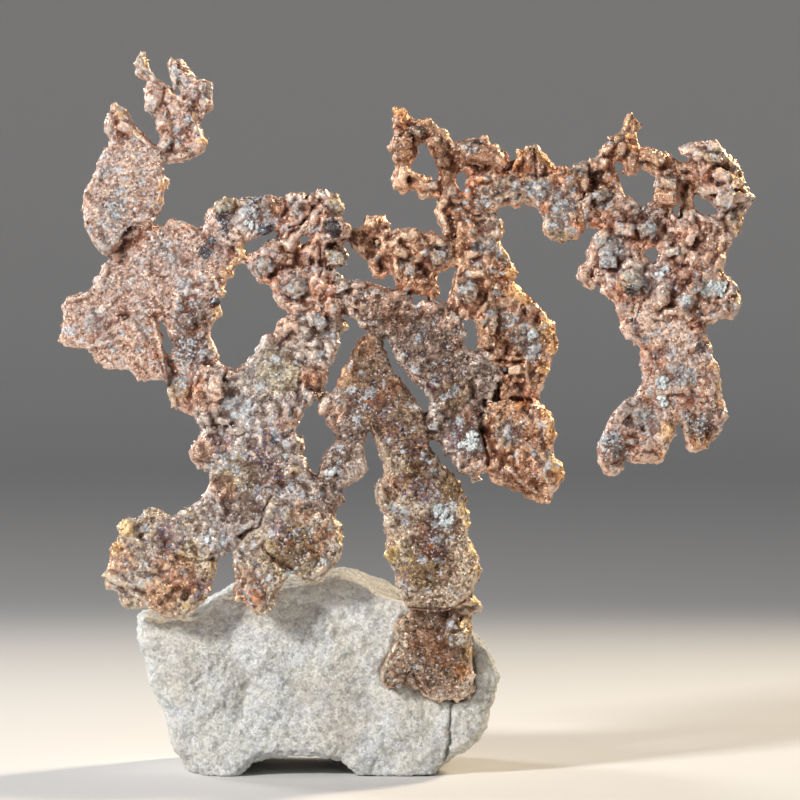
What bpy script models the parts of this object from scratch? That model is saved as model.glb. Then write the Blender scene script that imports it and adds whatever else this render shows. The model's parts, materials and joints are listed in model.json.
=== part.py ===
"""A tree of native copper rooted in a loose block of its granular host rock.

The copper is a wavy sheet of fused plates, nodules and flat-faced crystals. Each plate is drawn as an
outline seen from the front (x to the right, z up, in millimetres), given a depth and a thickness, and lumps
are set on both of its faces. All of it is fused into one skin, weathered, thinned to facets, and parted at
the main forks. The block is a slab with chipped sides, a crack and two feet, hollowed where the copper root
sits in it.
"""

import math
import random

import bmesh
import bpy
from mathutils import Euler, Matrix, Vector, noise
from mathutils.bvhtree import BVHTree

# Driving dimensions
MM = 0.001
SEED = 1858
FORK_GAP = 0.3
FORK_REACH = (-20.0, 30.0)
ROOT_GAP = 0.42
CURVE_STEPS = 3

# The copper skin
FUSE_VOXEL = 0.42
SOFTEN_ROUNDS = 3
COPPER_TRIANGLES = 7000
BRANCH_THINNING = 0.74
RELIEF_HEIGHT = 0.34
RELIEF_SCALE = 0.42
GRAIN_HEIGHT = 0.16
GRAIN_SCALE = 1.15
LUMP_AREA = 3.2
LUMP_SIZES = (0.75, 1.5)
LUMP_INSET = 0.8
LUMP_SINK = 0.62
FULL_LUMP_THICKNESS = 3.0
CUBE_SIDE = 1.45
OCTAHEDRON_RADIUS = 1.25
CRYSTAL_STRETCH = (0.8, 1.25)
SMALLEST_PIECE = 6.0
SMALLEST_TURN = 0.5

# The rock
ROCK_FRONT = 1.0
ROCK_BACK = 27.5
ROCK_VOXEL = 0.85
ROCK_TRIANGLES = 1500
HOLLOW_TOP = 27.0
HOLLOW_TRIANGLES = 620
ROCK_ROUGHNESS = 1.1
ROCK_ROUGHNESS_SCALE = 0.16
ROCK_BREAKS = 0.55
ROCK_BREAKS_SCALE = 0.45
CRACK_WIDTH = 0.6
CRACK_REACH = (-10.0, 5.5)
GROUND_SIZE = (200.0, 200.0, 20.0)

# How the sheet bows: mm back at its outer edges, the half width and height where it gets there, and waves
# as height in mm, pace per mm and phase, which fade in from the root up
SIDE_BOW = 1.8
BOW_HALF_WIDTH = 42.0
BOW_HEIGHT = 60.0
WAVE_HEIGHT = 0.45
WAVE_ACROSS = (0.21, 0.8)
WAVE_UP = (0.17, 1.9)
WAVE_FADE = 30.0

# Branches: outline, depth of the middle of the plate behind the front reference, thickness,
# and how much the plate leans back per millimetre to the right and per millimetre up.
LEAF = [
    (-36.2, 79.8), (-37.9, 79.0), (-38.7, 77.2), (-39.3, 75.2), (-40.3, 73.4), (-40.5, 70.5), (-40.2, 68.2),
    (-39.2, 66.8), (-38.2, 65.7), (-36.7, 65.8), (-35.7, 67.2), (-34.8, 69.0), (-33.0, 69.1), (-31.4, 70.0),
    (-30.8, 71.6), (-30.6, 73.0), (-30.0, 74.1), (-30.5, 75.4), (-31.3, 76.4), (-30.2, 77.6), (-31.2, 79.1),
    (-32.3, 79.2), (-33.5, 79.6),
]
LEAF_HORN = [
    (-37.3, 83.4), (-38.0, 82.3), (-38.0, 81.0), (-37.2, 80.1), (-36.0, 79.3), (-33.0, 78.8), (-31.9, 79.4),
    (-33.3, 80.5), (-34.4, 81.6), (-35.1, 82.6), (-35.3, 83.4), (-36.3, 83.9),
]
HORN_BODY = [
    (-31.2, 79.2), (-31.0, 80.3), (-31.5, 81.6), (-31.1, 82.5), (-30.2, 83.6), (-29.2, 84.9), (-28.2, 84.7),
    (-27.6, 84.0), (-26.3, 82.5), (-26.4, 81.3), (-25.6, 79.9), (-25.3, 78.7), (-26.5, 78.0), (-28.0, 77.1),
    (-29.7, 76.9), (-30.6, 77.9),
]
LEFT_PRONG = [
    (-31.2, 82.7), (-32.9, 83.4), (-32.9, 84.8), (-32.7, 86.4), (-32.6, 87.1), (-31.8, 87.5), (-31.0, 87.0),
    (-30.2, 86.3), (-29.3, 85.4), (-28.8, 84.6), (-29.9, 83.2),
]
LEFT_PRONG_TIP = [
    (-34.1, 88.0), (-34.3, 89.4), (-34.2, 90.7), (-33.7, 91.2), (-33.1, 90.8), (-32.6, 89.4), (-32.0, 88.1),
    (-31.4, 87.2), (-32.2, 86.4), (-32.9, 87.2),
]
RIGHT_PRONG = [
    (-28.6, 85.9), (-29.4, 87.2), (-29.8, 89.2), (-28.9, 90.0), (-28.1, 89.8), (-27.6, 88.7), (-26.6, 87.8),
    (-25.8, 87.4), (-24.9, 87.0), (-24.5, 86.0), (-24.4, 84.4), (-25.0, 83.1), (-26.1, 82.6), (-27.5, 83.4),
    (-28.1, 84.9), (-27.8, 85.6),
]
LEFT_PLATE = [
    (-35.6, 68.0), (-33.0, 68.5), (-30.9, 68.9), (-29.7, 70.0), (-27.6, 69.5), (-25.9, 68.4), (-24.6, 69.3),
    (-22.4, 67.6), (-21.0, 66.6), (-20.0, 65.1), (-21.4, 64.1), (-22.3, 62.5), (-23.4, 61.6), (-23.9, 59.9),
    (-24.4, 58.6), (-24.8, 57.3), (-27.5, 57.0), (-30.6, 57.5), (-32.8, 57.0), (-35.5, 55.8), (-38.5, 54.6),
    (-40.0, 53.5), (-42.0, 53.8), (-43.7, 54.5), (-43.1, 56.5), (-43.2, 58.5), (-43.0, 59.9), (-40.7, 60.6),
    (-39.6, 61.3), (-38.9, 62.8), (-37.4, 64.5), (-36.6, 66.2),
]
GOLD_LOBE = [
    (-39.6, 53.6), (-38.2, 51.6), (-37.9, 50.9), (-36.0, 51.1), (-34.6, 51.0), (-33.8, 50.0), (-31.0, 49.8),
    (-30.0, 49.9), (-30.2, 52.5), (-30.6, 54.8), (-31.2, 56.5), (-31.8, 57.6), (-33.5, 58.0), (-37.0, 56.5),
]
LEFT_LIMB = [
    (-30.2, 58.2), (-29.9, 55.4), (-29.1, 53.8), (-29.8, 52.2), (-30.0, 50.0), (-29.9, 48.2), (-29.0, 46.6),
    (-27.8, 45.7), (-26.5, 45.8), (-24.4, 46.6), (-23.4, 48.5), (-23.6, 50.8), (-23.6, 52.6), (-24.2, 54.0),
    (-25.0, 55.2), (-24.6, 56.8), (-25.2, 58.6),
]
BRIDGE = [
    (-25.2, 68.6), (-24.6, 70.9), (-23.2, 72.2), (-21.7, 72.2), (-20.8, 72.2), (-19.6, 72.8), (-18.4, 72.6),
    (-17.4, 73.0), (-16.2, 72.3), (-14.8, 71.4), (-14.6, 69.0), (-16.8, 68.5), (-18.6, 67.8), (-20.3, 67.1),
    (-21.4, 66.4), (-23.0, 66.8),
]
CLUSTER_TOP = [
    (-15.8, 68.2), (-15.2, 70.8), (-14.9, 72.8), (-13.6, 72.7), (-12.0, 72.5), (-10.5, 73.3), (-8.9, 72.4),
    (-7.9, 71.0), (-8.4, 69.9), (-7.3, 69.0), (-7.0, 67.9), (-8.4, 67.3), (-10.4, 67.3), (-11.2, 69.2),
    (-12.4, 68.4), (-14.0, 67.6), (-15.4, 67.3),
]
CLUSTER_STEM = [
    (-11.8, 69.4), (-12.0, 67.2), (-11.8, 65.5), (-12.5, 63.4), (-10.2, 63.4), (-10.3, 65.2), (-10.2, 66.4),
    (-10.2, 68.5),
]
CLUSTER_LOBE = [
    (-19.0, 65.9), (-18.0, 66.2), (-16.9, 67.3), (-15.4, 67.3), (-14.2, 67.1), (-13.4, 66.2), (-12.0, 66.6),
    (-10.6, 66.4), (-10.2, 64.6), (-10.1, 63.4), (-13.0, 61.5), (-16.8, 61.8), (-18.4, 62.1), (-19.6, 63.3),
    (-19.7, 64.8),
]
CLUSTER_BODY = [
    (-16.9, 62.2), (-16.7, 60.8), (-16.4, 59.8), (-14.9, 58.5), (-13.6, 58.1), (-13.2, 56.6), (-9.0, 56.6),
    (-8.4, 58.2), (-8.5, 59.8), (-8.0, 62.2), (-9.9, 63.4), (-13.0, 64.0),
]
CLUSTER_BUD = [
    (-10.4, 65.2), (-9.7, 66.2), (-8.5, 67.0), (-7.9, 66.4), (-7.5, 64.3), (-8.8, 63.9), (-10.3, 63.6),
]
CHAIN_UPPER = [
    (-5.2, 69.6), (-4.8, 70.2), (-3.5, 70.4), (-2.2, 69.2), (-2.2, 67.6), (-2.8, 66.6), (-4.2, 67.6),
    (-5.3, 67.9),
]
CHAIN_LEFT = [(-7.4, 68.3), (-6.1, 68.7), (-5.0, 67.8), (-4.2, 66.0), (-4.7, 65.0), (-6.0, 65.2), (-7.2, 66.9)]
CHAIN_LOWER = [
    (-5.0, 66.0), (-3.6, 66.2), (-2.4, 65.4), (-1.3, 65.2), (-1.4, 63.4), (-2.8, 62.8), (-4.0, 62.5),
    (-4.9, 64.0),
]
CHAIN_LINK = [(-3.2, 66.2), (-2.6, 67.4), (-1.1, 67.8), (-1.1, 65.4), (-2.6, 65.0)]
PLATE_CRYSTAL = [
    (-1.9, 66.4), (-1.5, 68.0), (0.2, 68.6), (1.6, 68.4), (3.6, 67.9), (5.2, 67.3), (6.8, 67.2), (6.8, 64.4),
    (5.4, 64.0), (4.1, 63.3), (3.4, 62.6), (2.9, 60.4), (1.5, 60.5), (-0.2, 61.1), (-1.3, 61.5), (-1.8, 63.2),
]
PLATE_DRIP = [(2.6, 63.0), (3.5, 62.6), (3.9, 61.0), (3.7, 60.1), (3.1, 60.4), (2.6, 61.6)]
STRAND_TOP = [
    (6.2, 67.6), (6.1, 65.4), (6.4, 64.5), (7.0, 63.6), (10.0, 62.6), (13.2, 63.0), (13.0, 64.2), (12.2, 65.8),
    (11.4, 67.2), (11.8, 68.0), (11.9, 69.2), (10.7, 70.4), (9.5, 70.8), (8.5, 71.2), (6.8, 71.2), (6.2, 69.5),
]
STRAND = [
    (7.0, 64.2), (6.0, 62.1), (5.5, 60.8), (5.4, 59.3), (6.6, 58.1), (8.2, 57.2), (9.3, 56.0), (8.8, 54.8),
    (9.2, 53.5), (10.4, 52.2), (12.6, 51.6), (12.8, 50.6), (11.9, 50.0), (11.0, 48.3), (10.3, 46.8),
    (12.5, 46.4), (15.0, 46.8), (16.4, 48.5), (17.3, 50.0), (17.8, 51.8), (18.5, 53.6), (18.5, 55.4),
    (17.6, 57.1), (16.3, 58.7), (14.5, 60.4), (13.1, 61.8), (13.3, 63.0), (12.8, 64.3),
]
LOWER_RIGHT_LOBE = [
    (10.2, 47.2), (9.4, 45.8), (9.2, 43.8), (9.8, 41.6), (9.8, 39.2), (10.5, 38.2), (10.7, 36.9), (12.4, 36.9),
    (14.2, 35.8), (16.4, 34.6), (17.5, 34.2), (18.3, 35.6), (19.2, 37.2), (19.5, 38.5), (18.6, 39.6),
    (17.9, 40.5), (18.3, 42.2), (18.3, 44.0), (17.2, 45.8), (15.6, 47.2), (13.0, 47.8),
]
DIAGONAL_HEAD = [
    (-9.2, 62.4), (-7.4, 62.0), (-6.2, 62.1), (-5.0, 62.0), (-3.6, 61.5), (-2.2, 61.0), (-0.8, 60.9),
    (0.3, 60.3), (0.6, 59.3), (1.4, 58.6), (2.4, 59.5), (3.8, 59.2), (5.0, 58.6), (6.6, 57.2), (7.2, 56.0),
    (6.4, 54.6), (5.9, 53.4), (3.0, 50.5), (0.2, 50.2), (-1.2, 51.9), (-1.8, 54.0), (-2.6, 55.6), (-4.8, 56.2),
    (-6.5, 57.4), (-7.6, 58.6), (-8.8, 60.0),
]
DIAGONAL_MIDDLE = [
    (0.0, 50.3), (1.2, 49.6), (2.4, 48.1), (2.9, 46.8), (4.4, 46.0), (8.0, 46.5), (9.3, 46.6), (10.4, 47.6),
    (11.6, 48.8), (11.6, 50.4), (10.9, 52.1), (9.6, 53.0), (7.6, 53.2), (6.0, 53.8), (2.0, 55.0), (-1.5, 53.0),
]
DIAGONAL_FOOT = [
    (2.6, 46.6), (2.6, 44.4), (2.8, 43.0), (3.6, 42.5), (4.6, 43.0), (4.3, 41.6), (5.4, 40.4), (6.2, 39.2),
    (6.8, 38.1), (8.0, 38.0), (9.9, 38.8), (10.0, 40.6), (9.2, 42.6), (8.9, 44.6), (8.2, 46.2), (7.6, 47.6),
    (4.0, 48.0),
]
TRUNK_TOP = [
    (-21.6, 50.6), (-20.2, 51.9), (-18.9, 53.2), (-18.3, 54.6), (-17.3, 55.4), (-16.1, 55.4), (-16.4, 56.2),
    (-15.4, 57.1), (-14.2, 57.9), (-13.6, 59.0), (-9.2, 59.0), (-9.0, 57.2), (-8.8, 55.5), (-9.0, 53.0),
    (-10.2, 50.9), (-11.0, 49.0), (-20.0, 48.5),
]
TRUNK_MIDDLE = [
    (-26.4, 51.0), (-23.6, 51.6), (-21.6, 50.9), (-17.0, 52.0), (-11.5, 51.0), (-12.9, 47.0), (-13.8, 44.3),
    (-15.0, 43.3), (-13.6, 42.4), (-13.4, 40.0), (-11.3, 37.1), (-12.0, 35.5), (-23.5, 35.5), (-24.3, 37.0),
    (-24.6, 38.5), (-26.3, 39.2), (-27.1, 40.6), (-26.4, 42.0), (-25.2, 43.5), (-26.4, 44.8), (-26.8, 46.0),
    (-26.8, 48.0),
]
TRUNK_BASE = [
    (-24.4, 36.4), (-11.5, 37.3), (-8.4, 36.4), (-8.3, 34.4), (-9.5, 33.3), (-9.5, 31.8), (-17.0, 31.0),
    (-20.3, 30.7), (-22.3, 28.5), (-24.4, 27.5), (-27.8, 28.0), (-28.2, 33.2), (-26.6, 34.1), (-25.0, 35.0),
]
LEFT_FOOT = [
    (-25.0, 33.6), (-28.4, 33.0), (-30.0, 32.7), (-30.8, 33.5), (-32.4, 33.2), (-34.0, 32.2), (-35.2, 31.6),
    (-35.8, 30.1), (-36.9, 28.9), (-36.8, 27.0), (-37.7, 25.2), (-37.6, 24.0), (-36.3, 23.5), (-35.6, 21.9),
    (-34.3, 21.4), (-32.0, 21.5), (-30.6, 20.7), (-28.6, 20.6), (-27.3, 20.6), (-26.2, 21.8), (-24.9, 23.2),
    (-24.4, 25.2), (-23.9, 26.6), (-24.6, 27.6), (-23.0, 30.0),
]
MIDDLE_LOBE = [
    (-17.4, 34.8), (-18.0, 32.2), (-20.4, 30.2), (-21.6, 28.2), (-21.4, 25.2), (-21.5, 23.2), (-20.0, 22.1),
    (-18.4, 20.7), (-17.5, 21.0), (-16.6, 22.2), (-16.2, 23.8), (-14.9, 25.5), (-14.2, 26.6), (-15.5, 29.0),
    (-14.5, 33.5),
]
ROUND_LOBE = [
    (-17.4, 36.0), (-17.5, 31.5), (-16.5, 28.5), (-14.2, 26.4), (-13.2, 25.4), (-11.8, 24.9), (-10.4, 25.4),
    (-9.2, 27.0), (-8.4, 28.4), (-8.1, 30.2), (-8.8, 32.3), (-9.7, 33.4), (-9.6, 35.5),
]
LEFT_LEG = [
    (-4.9, 44.6), (-5.2, 42.9), (-5.5, 40.6), (-5.1, 38.6), (-6.0, 37.4), (-8.0, 36.7), (-8.8, 35.6),
    (-11.6, 36.4), (-10.9, 38.0), (-10.8, 39.4), (-10.0, 41.2), (-8.4, 42.6), (-9.3, 43.5), (-9.8, 45.2),
    (-10.7, 46.2), (-10.1, 47.6), (-8.6, 48.9), (-8.4, 50.3), (-5.0, 51.0),
]
RIGHT_LEG_TOP = [
    (-8.5, 49.2), (-7.8, 51.5), (-7.0, 52.2), (-6.6, 53.6), (-5.6, 55.1), (-4.4, 55.5), (-3.3, 54.9),
    (-2.7, 53.0), (-1.8, 50.8), (0.1, 48.6), (1.3, 46.6), (2.0, 44.6), (2.4, 42.4), (2.6, 40.4), (1.5, 38.4),
    (-1.5, 38.0), (-2.9, 39.4), (-3.0, 40.6), (-4.1, 42.5), (-4.4, 44.3), (-5.6, 45.4), (-9.0, 48.0),
]
RIGHT_LEG = [
    (-2.9, 40.4), (-2.8, 38.2), (-3.9, 36.2), (-3.4, 34.3), (-2.6, 33.0), (-2.8, 31.8), (-2.4, 30.0),
    (-2.7, 28.0), (-1.8, 26.2), (-1.0, 24.0), (-0.3, 21.9), (2.0, 21.0), (5.5, 21.4), (7.4, 22.7), (8.3, 24.2),
    (8.9, 25.8), (8.6, 28.6), (7.5, 30.5), (7.8, 31.9), (7.3, 33.5), (6.7, 35.8), (6.2, 37.2), (5.2, 38.4),
    (4.0, 39.3), (3.4, 40.4),
]
TONGUE = [
    (-0.6, 20.0), (-1.8, 19.2), (-1.3, 17.2), (-2.4, 15.6), (-3.3, 13.5), (-3.3, 11.6), (-1.8, 11.1),
    (0.6, 11.7), (1.6, 11.0), (2.8, 10.0), (5.2, 9.7), (7.9, 10.2), (8.2, 12.5), (8.3, 15.6), (7.8, 17.4),
    (7.9, 19.8), (6.6, 21.0), (5.0, 22.4), (1.5, 21.8),
]
SPUR = [(5.4, 22.2), (7.4, 22.6), (8.1, 23.2), (9.0, 22.4), (9.5, 21.4), (9.1, 20.9), (7.8, 20.7), (5.6, 20.4)]
SPRAY_TIP = [
    (-2.1, 83.8), (-1.6, 84.1), (-0.9, 83.5), (-0.1, 83.2), (0.4, 82.5), (0.6, 81.4), (0.0, 80.7),
    (-1.3, 80.8), (-1.8, 82.2), (-1.6, 82.9),
]
SPRAY_ARM = [(-0.2, 82.4), (1.4, 82.6), (2.4, 82.8), (3.3, 82.2), (3.4, 81.3), (2.2, 81.1), (0.6, 81.5)]
SPRAY_BLOCK = [(-0.2, 81.4), (1.0, 81.4), (2.2, 80.8), (2.1, 79.8), (1.2, 79.6), (-0.1, 80.2)]
SPRAY_SPINDLE = [
    (-1.4, 81.2), (-2.0, 79.6), (-2.1, 78.4), (-1.6, 76.8), (-1.4, 75.6), (-1.5, 74.9), (-1.9, 74.2),
    (-1.5, 73.5), (-0.4, 73.0), (0.3, 73.6), (0.3, 75.2), (0.5, 76.4), (1.1, 77.6), (1.3, 78.4), (0.6, 79.5),
    (0.0, 80.8),
]
SPRAY_CHAIN = [
    (-0.4, 75.3), (0.9, 75.6), (2.2, 75.2), (2.8, 74.6), (3.8, 74.6), (4.9, 74.2), (4.8, 73.1), (2.8, 72.8),
    (2.1, 72.5), (1.2, 73.2), (0.9, 74.0), (-0.4, 74.1),
]
SPRAY_STRUT = [(1.5, 81.2), (2.6, 81.3), (4.2, 81.2), (4.3, 80.3), (2.8, 80.3), (1.6, 80.2)]
STEM = [
    (2.3, 79.5), (3.0, 80.2), (3.7, 81.0), (4.4, 81.1), (5.2, 80.2), (6.4, 79.2), (6.8, 77.6), (6.2, 76.4),
    (5.9, 75.2), (6.3, 73.8), (7.0, 72.8), (7.7, 71.3), (7.0, 69.6), (6.0, 69.4), (5.9, 67.8), (5.3, 67.2),
    (4.4, 68.4), (3.7, 69.8), (3.5, 71.2), (4.3, 72.4), (4.4, 74.2), (4.0, 75.6), (3.5, 77.3), (2.7, 78.6),
]
BIG_SPINDLE = [
    (5.8, 79.1), (7.2, 79.6), (9.6, 80.0), (11.0, 79.0), (12.2, 77.6), (12.9, 76.6), (12.2, 75.8),
    (10.6, 76.0), (8.6, 76.9), (6.8, 77.6), (5.6, 78.2),
]
BAR_STRUT = [
    (5.6, 78.4), (7.4, 77.6), (9.4, 76.5), (11.2, 75.8), (11.0, 74.6), (8.2, 75.0), (7.0, 75.9), (5.8, 76.4),
]
BAR_COLUMN = [
    (8.6, 75.6), (7.5, 74.8), (7.5, 73.6), (6.6, 72.5), (6.4, 70.9), (7.6, 69.8), (9.8, 70.0), (10.6, 71.4),
    (10.5, 75.2),
]
BAR = [
    (8.6, 75.3), (12.6, 75.2), (15.6, 75.6), (18.6, 76.2), (20.8, 75.8), (22.6, 75.4), (22.6, 70.0),
    (19.5, 69.5), (16.8, 71.2), (14.6, 72.2), (13.2, 71.5), (12.4, 72.1), (11.6, 71.5), (9.9, 70.6),
    (8.4, 71.0),
]
BULB = [
    (16.7, 71.6), (17.1, 70.0), (16.9, 68.9), (17.6, 67.7), (19.3, 67.1), (21.0, 67.5), (22.0, 68.4),
    (22.1, 69.8), (22.0, 71.5),
]
PYRAMID = [
    (12.6, 74.8), (13.1, 76.0), (14.3, 78.0), (15.0, 78.7), (16.1, 79.1), (17.0, 78.1), (18.3, 76.4),
    (19.2, 75.0),
]
SPIRE_KNOB = [
    (20.8, 76.3), (21.6, 77.1), (23.0, 77.2), (23.8, 76.4), (23.2, 74.0), (22.6, 72.2), (21.6, 73.2),
    (21.6, 75.2),
]
SPIRE_ARM = [
    (23.0, 77.2), (24.1, 77.6), (24.8, 79.0), (25.8, 79.5), (27.0, 79.5), (27.3, 77.6), (25.9, 77.2),
    (25.6, 76.2), (26.7, 75.4), (27.1, 73.8), (26.9, 72.2), (25.0, 71.8), (23.0, 72.0), (22.4, 74.5),
]
SPIRE_TOP = [
    (25.7, 79.4), (25.8, 80.4), (26.9, 80.8), (27.0, 81.8), (27.4, 83.0), (28.3, 83.1), (28.7, 81.8),
    (28.7, 80.6), (28.3, 79.4), (28.0, 78.4), (26.8, 78.6),
]
SPIRE_DROP = [
    (27.2, 79.6), (28.3, 79.2), (29.0, 77.6), (29.1, 76.2), (28.3, 75.3), (27.4, 75.4), (27.2, 76.6),
    (27.0, 78.4),
]
WEDGE = [
    (28.6, 78.8), (30.4, 78.6), (32.6, 78.1), (34.1, 77.1), (33.6, 76.0), (31.6, 75.5), (30.6, 75.4),
    (29.7, 76.6), (28.6, 77.2),
]
CHAIN_RIGHT = [(33.0, 76.6), (34.6, 76.8), (37.2, 77.0), (37.2, 75.4), (34.8, 74.4), (33.0, 75.0)]
CHAIN_MIDDLE = [(31.2, 74.2), (31.8, 75.5), (33.4, 75.6), (34.8, 74.8), (34.2, 73.4), (32.2, 73.0)]
CHAIN_BASE = [(31.9, 73.8), (31.2, 72.4), (31.5, 71.0), (33.3, 70.4), (34.0, 72.0), (33.9, 73.4), (32.9, 74.0)]
CHAIN_COLUMN = [
    (34.5, 74.8), (36.0, 75.4), (37.4, 74.8), (37.2, 72.8), (36.2, 72.2), (36.1, 70.0), (34.7, 69.8),
    (34.8, 72.2),
]
RIGHT_MASS = [
    (34.8, 78.2), (35.8, 79.0), (37.6, 79.4), (38.9, 79.2), (39.9, 78.0), (41.2, 77.1), (41.7, 75.9),
    (42.1, 74.4), (42.3, 73.2), (43.2, 73.0), (43.6, 72.2), (42.6, 71.7), (42.2, 70.2), (39.7, 69.8),
    (38.6, 71.4), (37.6, 72.0), (36.5, 72.8), (36.3, 74.6), (36.2, 76.8), (35.6, 77.6),
]
SHOULDER = [
    (21.6, 71.0), (21.8, 73.4), (24.8, 74.0), (26.8, 73.4), (28.0, 72.6), (29.4, 71.4), (31.4, 71.8),
    (33.2, 71.4), (32.5, 68.4), (31.5, 66.3), (29.9, 66.0), (29.7, 65.3), (30.6, 64.5), (30.9, 61.4),
    (29.8, 59.2), (28.6, 56.8), (27.0, 57.2), (26.2, 58.8), (26.4, 59.6), (24.2, 60.7), (24.9, 62.0),
    (23.4, 62.6), (22.9, 64.8), (23.2, 67.0), (24.6, 68.7), (21.8, 69.3),
]
SHOULDER_KNOB = [
    (23.2, 64.4), (21.8, 64.1), (21.3, 62.6), (22.5, 61.1), (23.9, 61.8), (24.8, 62.8), (23.9, 64.4),
]
RIGHT_PLATE = [
    (32.6, 71.0), (34.6, 71.2), (36.4, 71.2), (38.0, 70.2), (39.6, 70.8), (42.2, 71.8), (42.0, 69.4),
    (41.2, 67.8), (39.8, 66.6), (39.9, 64.8), (39.4, 63.2), (40.4, 62.3), (41.5, 60.6), (41.7, 58.8),
    (40.9, 57.6), (38.6, 57.3), (37.1, 57.3), (36.0, 56.0), (29.0, 56.4), (28.2, 57.6), (29.5, 59.4),
    (30.2, 61.6), (30.2, 64.4), (31.3, 64.8), (31.3, 66.0), (32.0, 68.2),
]
TAIL = [
    (28.0, 58.0), (26.8, 56.4), (27.2, 55.3), (29.4, 53.8), (29.3, 51.2), (29.7, 49.2), (28.2, 47.6),
    (26.8, 46.9), (25.6, 44.8), (24.5, 42.8), (23.9, 41.4), (23.9, 39.4), (24.9, 38.0), (26.4, 37.7),
    (26.8, 39.4), (27.4, 40.3), (28.0, 39.4), (30.5, 39.2), (32.0, 39.5), (32.4, 41.4), (33.5, 42.6),
    (33.4, 44.2), (34.4, 45.0), (39.8, 45.2), (39.4, 47.8), (39.1, 50.6), (38.2, 52.4), (38.3, 53.9),
    (37.2, 55.5), (37.2, 58.0),
]
TAIL_SPUR = [
    (34.4, 46.4), (34.7, 43.0), (35.0, 41.4), (36.1, 40.8), (37.4, 41.2), (38.3, 42.6), (39.9, 44.5),
    (39.7, 46.6), (37.0, 47.5),
]

PLATES = [
    (LEAF, 1.6, 2.5, 0.02, 0.16),
    (LEAF_HORN, 3.4, 2.0, 0.0, 0.15),
    (HORN_BODY, 3.6, 3.0, 0.0, 0.12),
    (LEFT_PRONG, 4.6, 2.3, 0.05, 0.12),
    (LEFT_PRONG_TIP, 5.2, 1.5, 0.0, 0.2),
    (RIGHT_PRONG, 4.0, 2.3, -0.12, 0.1),
    (LEFT_PLATE, 1.9, 2.6, -0.05, 0.03),
    (GOLD_LOBE, -0.2, 2.2, 0.1, 0.1),
    (LEFT_LIMB, 1.6, 2.8, -0.05, 0.0),
    (BRIDGE, 0.9, 3.1, 0.0, 0.05),
    (CLUSTER_TOP, 0.4, 3.0, 0.05, 0.1),
    (CLUSTER_STEM, 0.2, 1.7, 0.0, 0.0),
    (CLUSTER_LOBE, 0.8, 3.3, 0.04, 0.0),
    (CLUSTER_BODY, 0.0, 3.7, 0.0, 0.0),
    (CLUSTER_BUD, 1.2, 1.9, 0.0, 0.0),
    (CHAIN_UPPER, 2.0, 1.9, 0.1, 0.2),
    (CHAIN_LEFT, 1.2, 1.9, 0.0, 0.0),
    (CHAIN_LOWER, 1.2, 1.9, 0.0, 0.0),
    (CHAIN_LINK, 0.9, 1.9, 0.0, 0.0),
    (PLATE_CRYSTAL, 0.2, 2.6, 0.1, -0.1),
    (PLATE_DRIP, 0.8, 1.2, 0.0, 0.0),
    (STRAND_TOP, 1.2, 3.1, 0.0, 0.05),
    (STRAND, 0.8, 3.3, 0.1, 0.03),
    (LOWER_RIGHT_LOBE, 0.2, 3.3, 0.08, 0.0),
    (DIAGONAL_HEAD, -0.2, 3.3, 0.0, 0.0),
    (DIAGONAL_MIDDLE, -0.5, 3.3, 0.06, 0.0),
    (DIAGONAL_FOOT, -0.8, 3.1, 0.0, 0.05),
    (TRUNK_TOP, -0.2, 3.8, 0.0, 0.02),
    (TRUNK_MIDDLE, -0.4, 4.2, -0.03, 0.0),
    (TRUNK_BASE, -1.1, 3.8, -0.02, 0.03),
    (LEFT_FOOT, -1.4, 4.0, -0.06, 0.08),
    (MIDDLE_LOBE, -2.8, 3.0, 0.05, 0.12),
    (ROUND_LOBE, -2.3, 3.5, 0.06, 0.08),
    (LEFT_LEG, -1.0, 3.3, 0.0, 0.03),
    (RIGHT_LEG_TOP, -1.1, 3.5, 0.0, 0.03),
    (RIGHT_LEG, -1.3, 3.3, 0.03, 0.02),
    (TONGUE, 0.3, 2.8, 0.06, 0.0),
    (SPUR, -0.5, 1.7, 0.1, 0.0),
    (SPRAY_TIP, 4.2, 1.6, 0.0, 0.1),
    (SPRAY_ARM, 4.0, 1.2, 0.0, 0.1),
    (SPRAY_BLOCK, 3.4, 1.5, 0.0, 0.0),
    (SPRAY_SPINDLE, 3.2, 2.2, 0.0, 0.04),
    (SPRAY_CHAIN, 2.6, 1.7, -0.1, 0.0),
    (SPRAY_STRUT, 3.0, 1.0, -0.1, 0.0),
    (STEM, 2.0, 2.4, 0.0, 0.06),
    (BIG_SPINDLE, 1.9, 2.6, 0.06, 0.1),
    (BAR_STRUT, 2.0, 1.9, 0.0, 0.0),
    (BAR_COLUMN, 1.6, 2.6, 0.0, 0.0),
    (BAR, 1.7, 3.1, 0.04, 0.0),
    (BULB, 1.5, 3.3, 0.0, 0.06),
    (PYRAMID, 2.2, 2.8, 0.0, 0.1),
    (SPIRE_KNOB, 3.2, 2.1, 0.0, 0.05),
    (SPIRE_ARM, 3.4, 2.6, 0.05, 0.05),
    (SPIRE_TOP, 4.2, 1.7, 0.0, 0.1),
    (SPIRE_DROP, 3.2, 1.7, 0.0, 0.0),
    (WEDGE, 3.6, 2.1, 0.0, 0.05),
    (CHAIN_RIGHT, 3.4, 2.1, 0.0, 0.0),
    (CHAIN_MIDDLE, 2.8, 2.3, 0.0, 0.0),
    (CHAIN_BASE, 2.6, 2.3, 0.0, 0.0),
    (CHAIN_COLUMN, 3.0, 2.3, 0.0, 0.0),
    (RIGHT_MASS, 3.2, 4.2, 0.05, 0.02),
    (SHOULDER, 2.2, 3.3, 0.03, 0.03),
    (SHOULDER_KNOB, 1.8, 2.3, 0.0, 0.0),
    (RIGHT_PLATE, 2.4, 3.7, 0.05, 0.03),
    (TAIL, 1.6, 3.1, 0.05, 0.03),
    (TAIL_SPUR, 1.8, 2.8, 0.05, 0.05),
]

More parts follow.
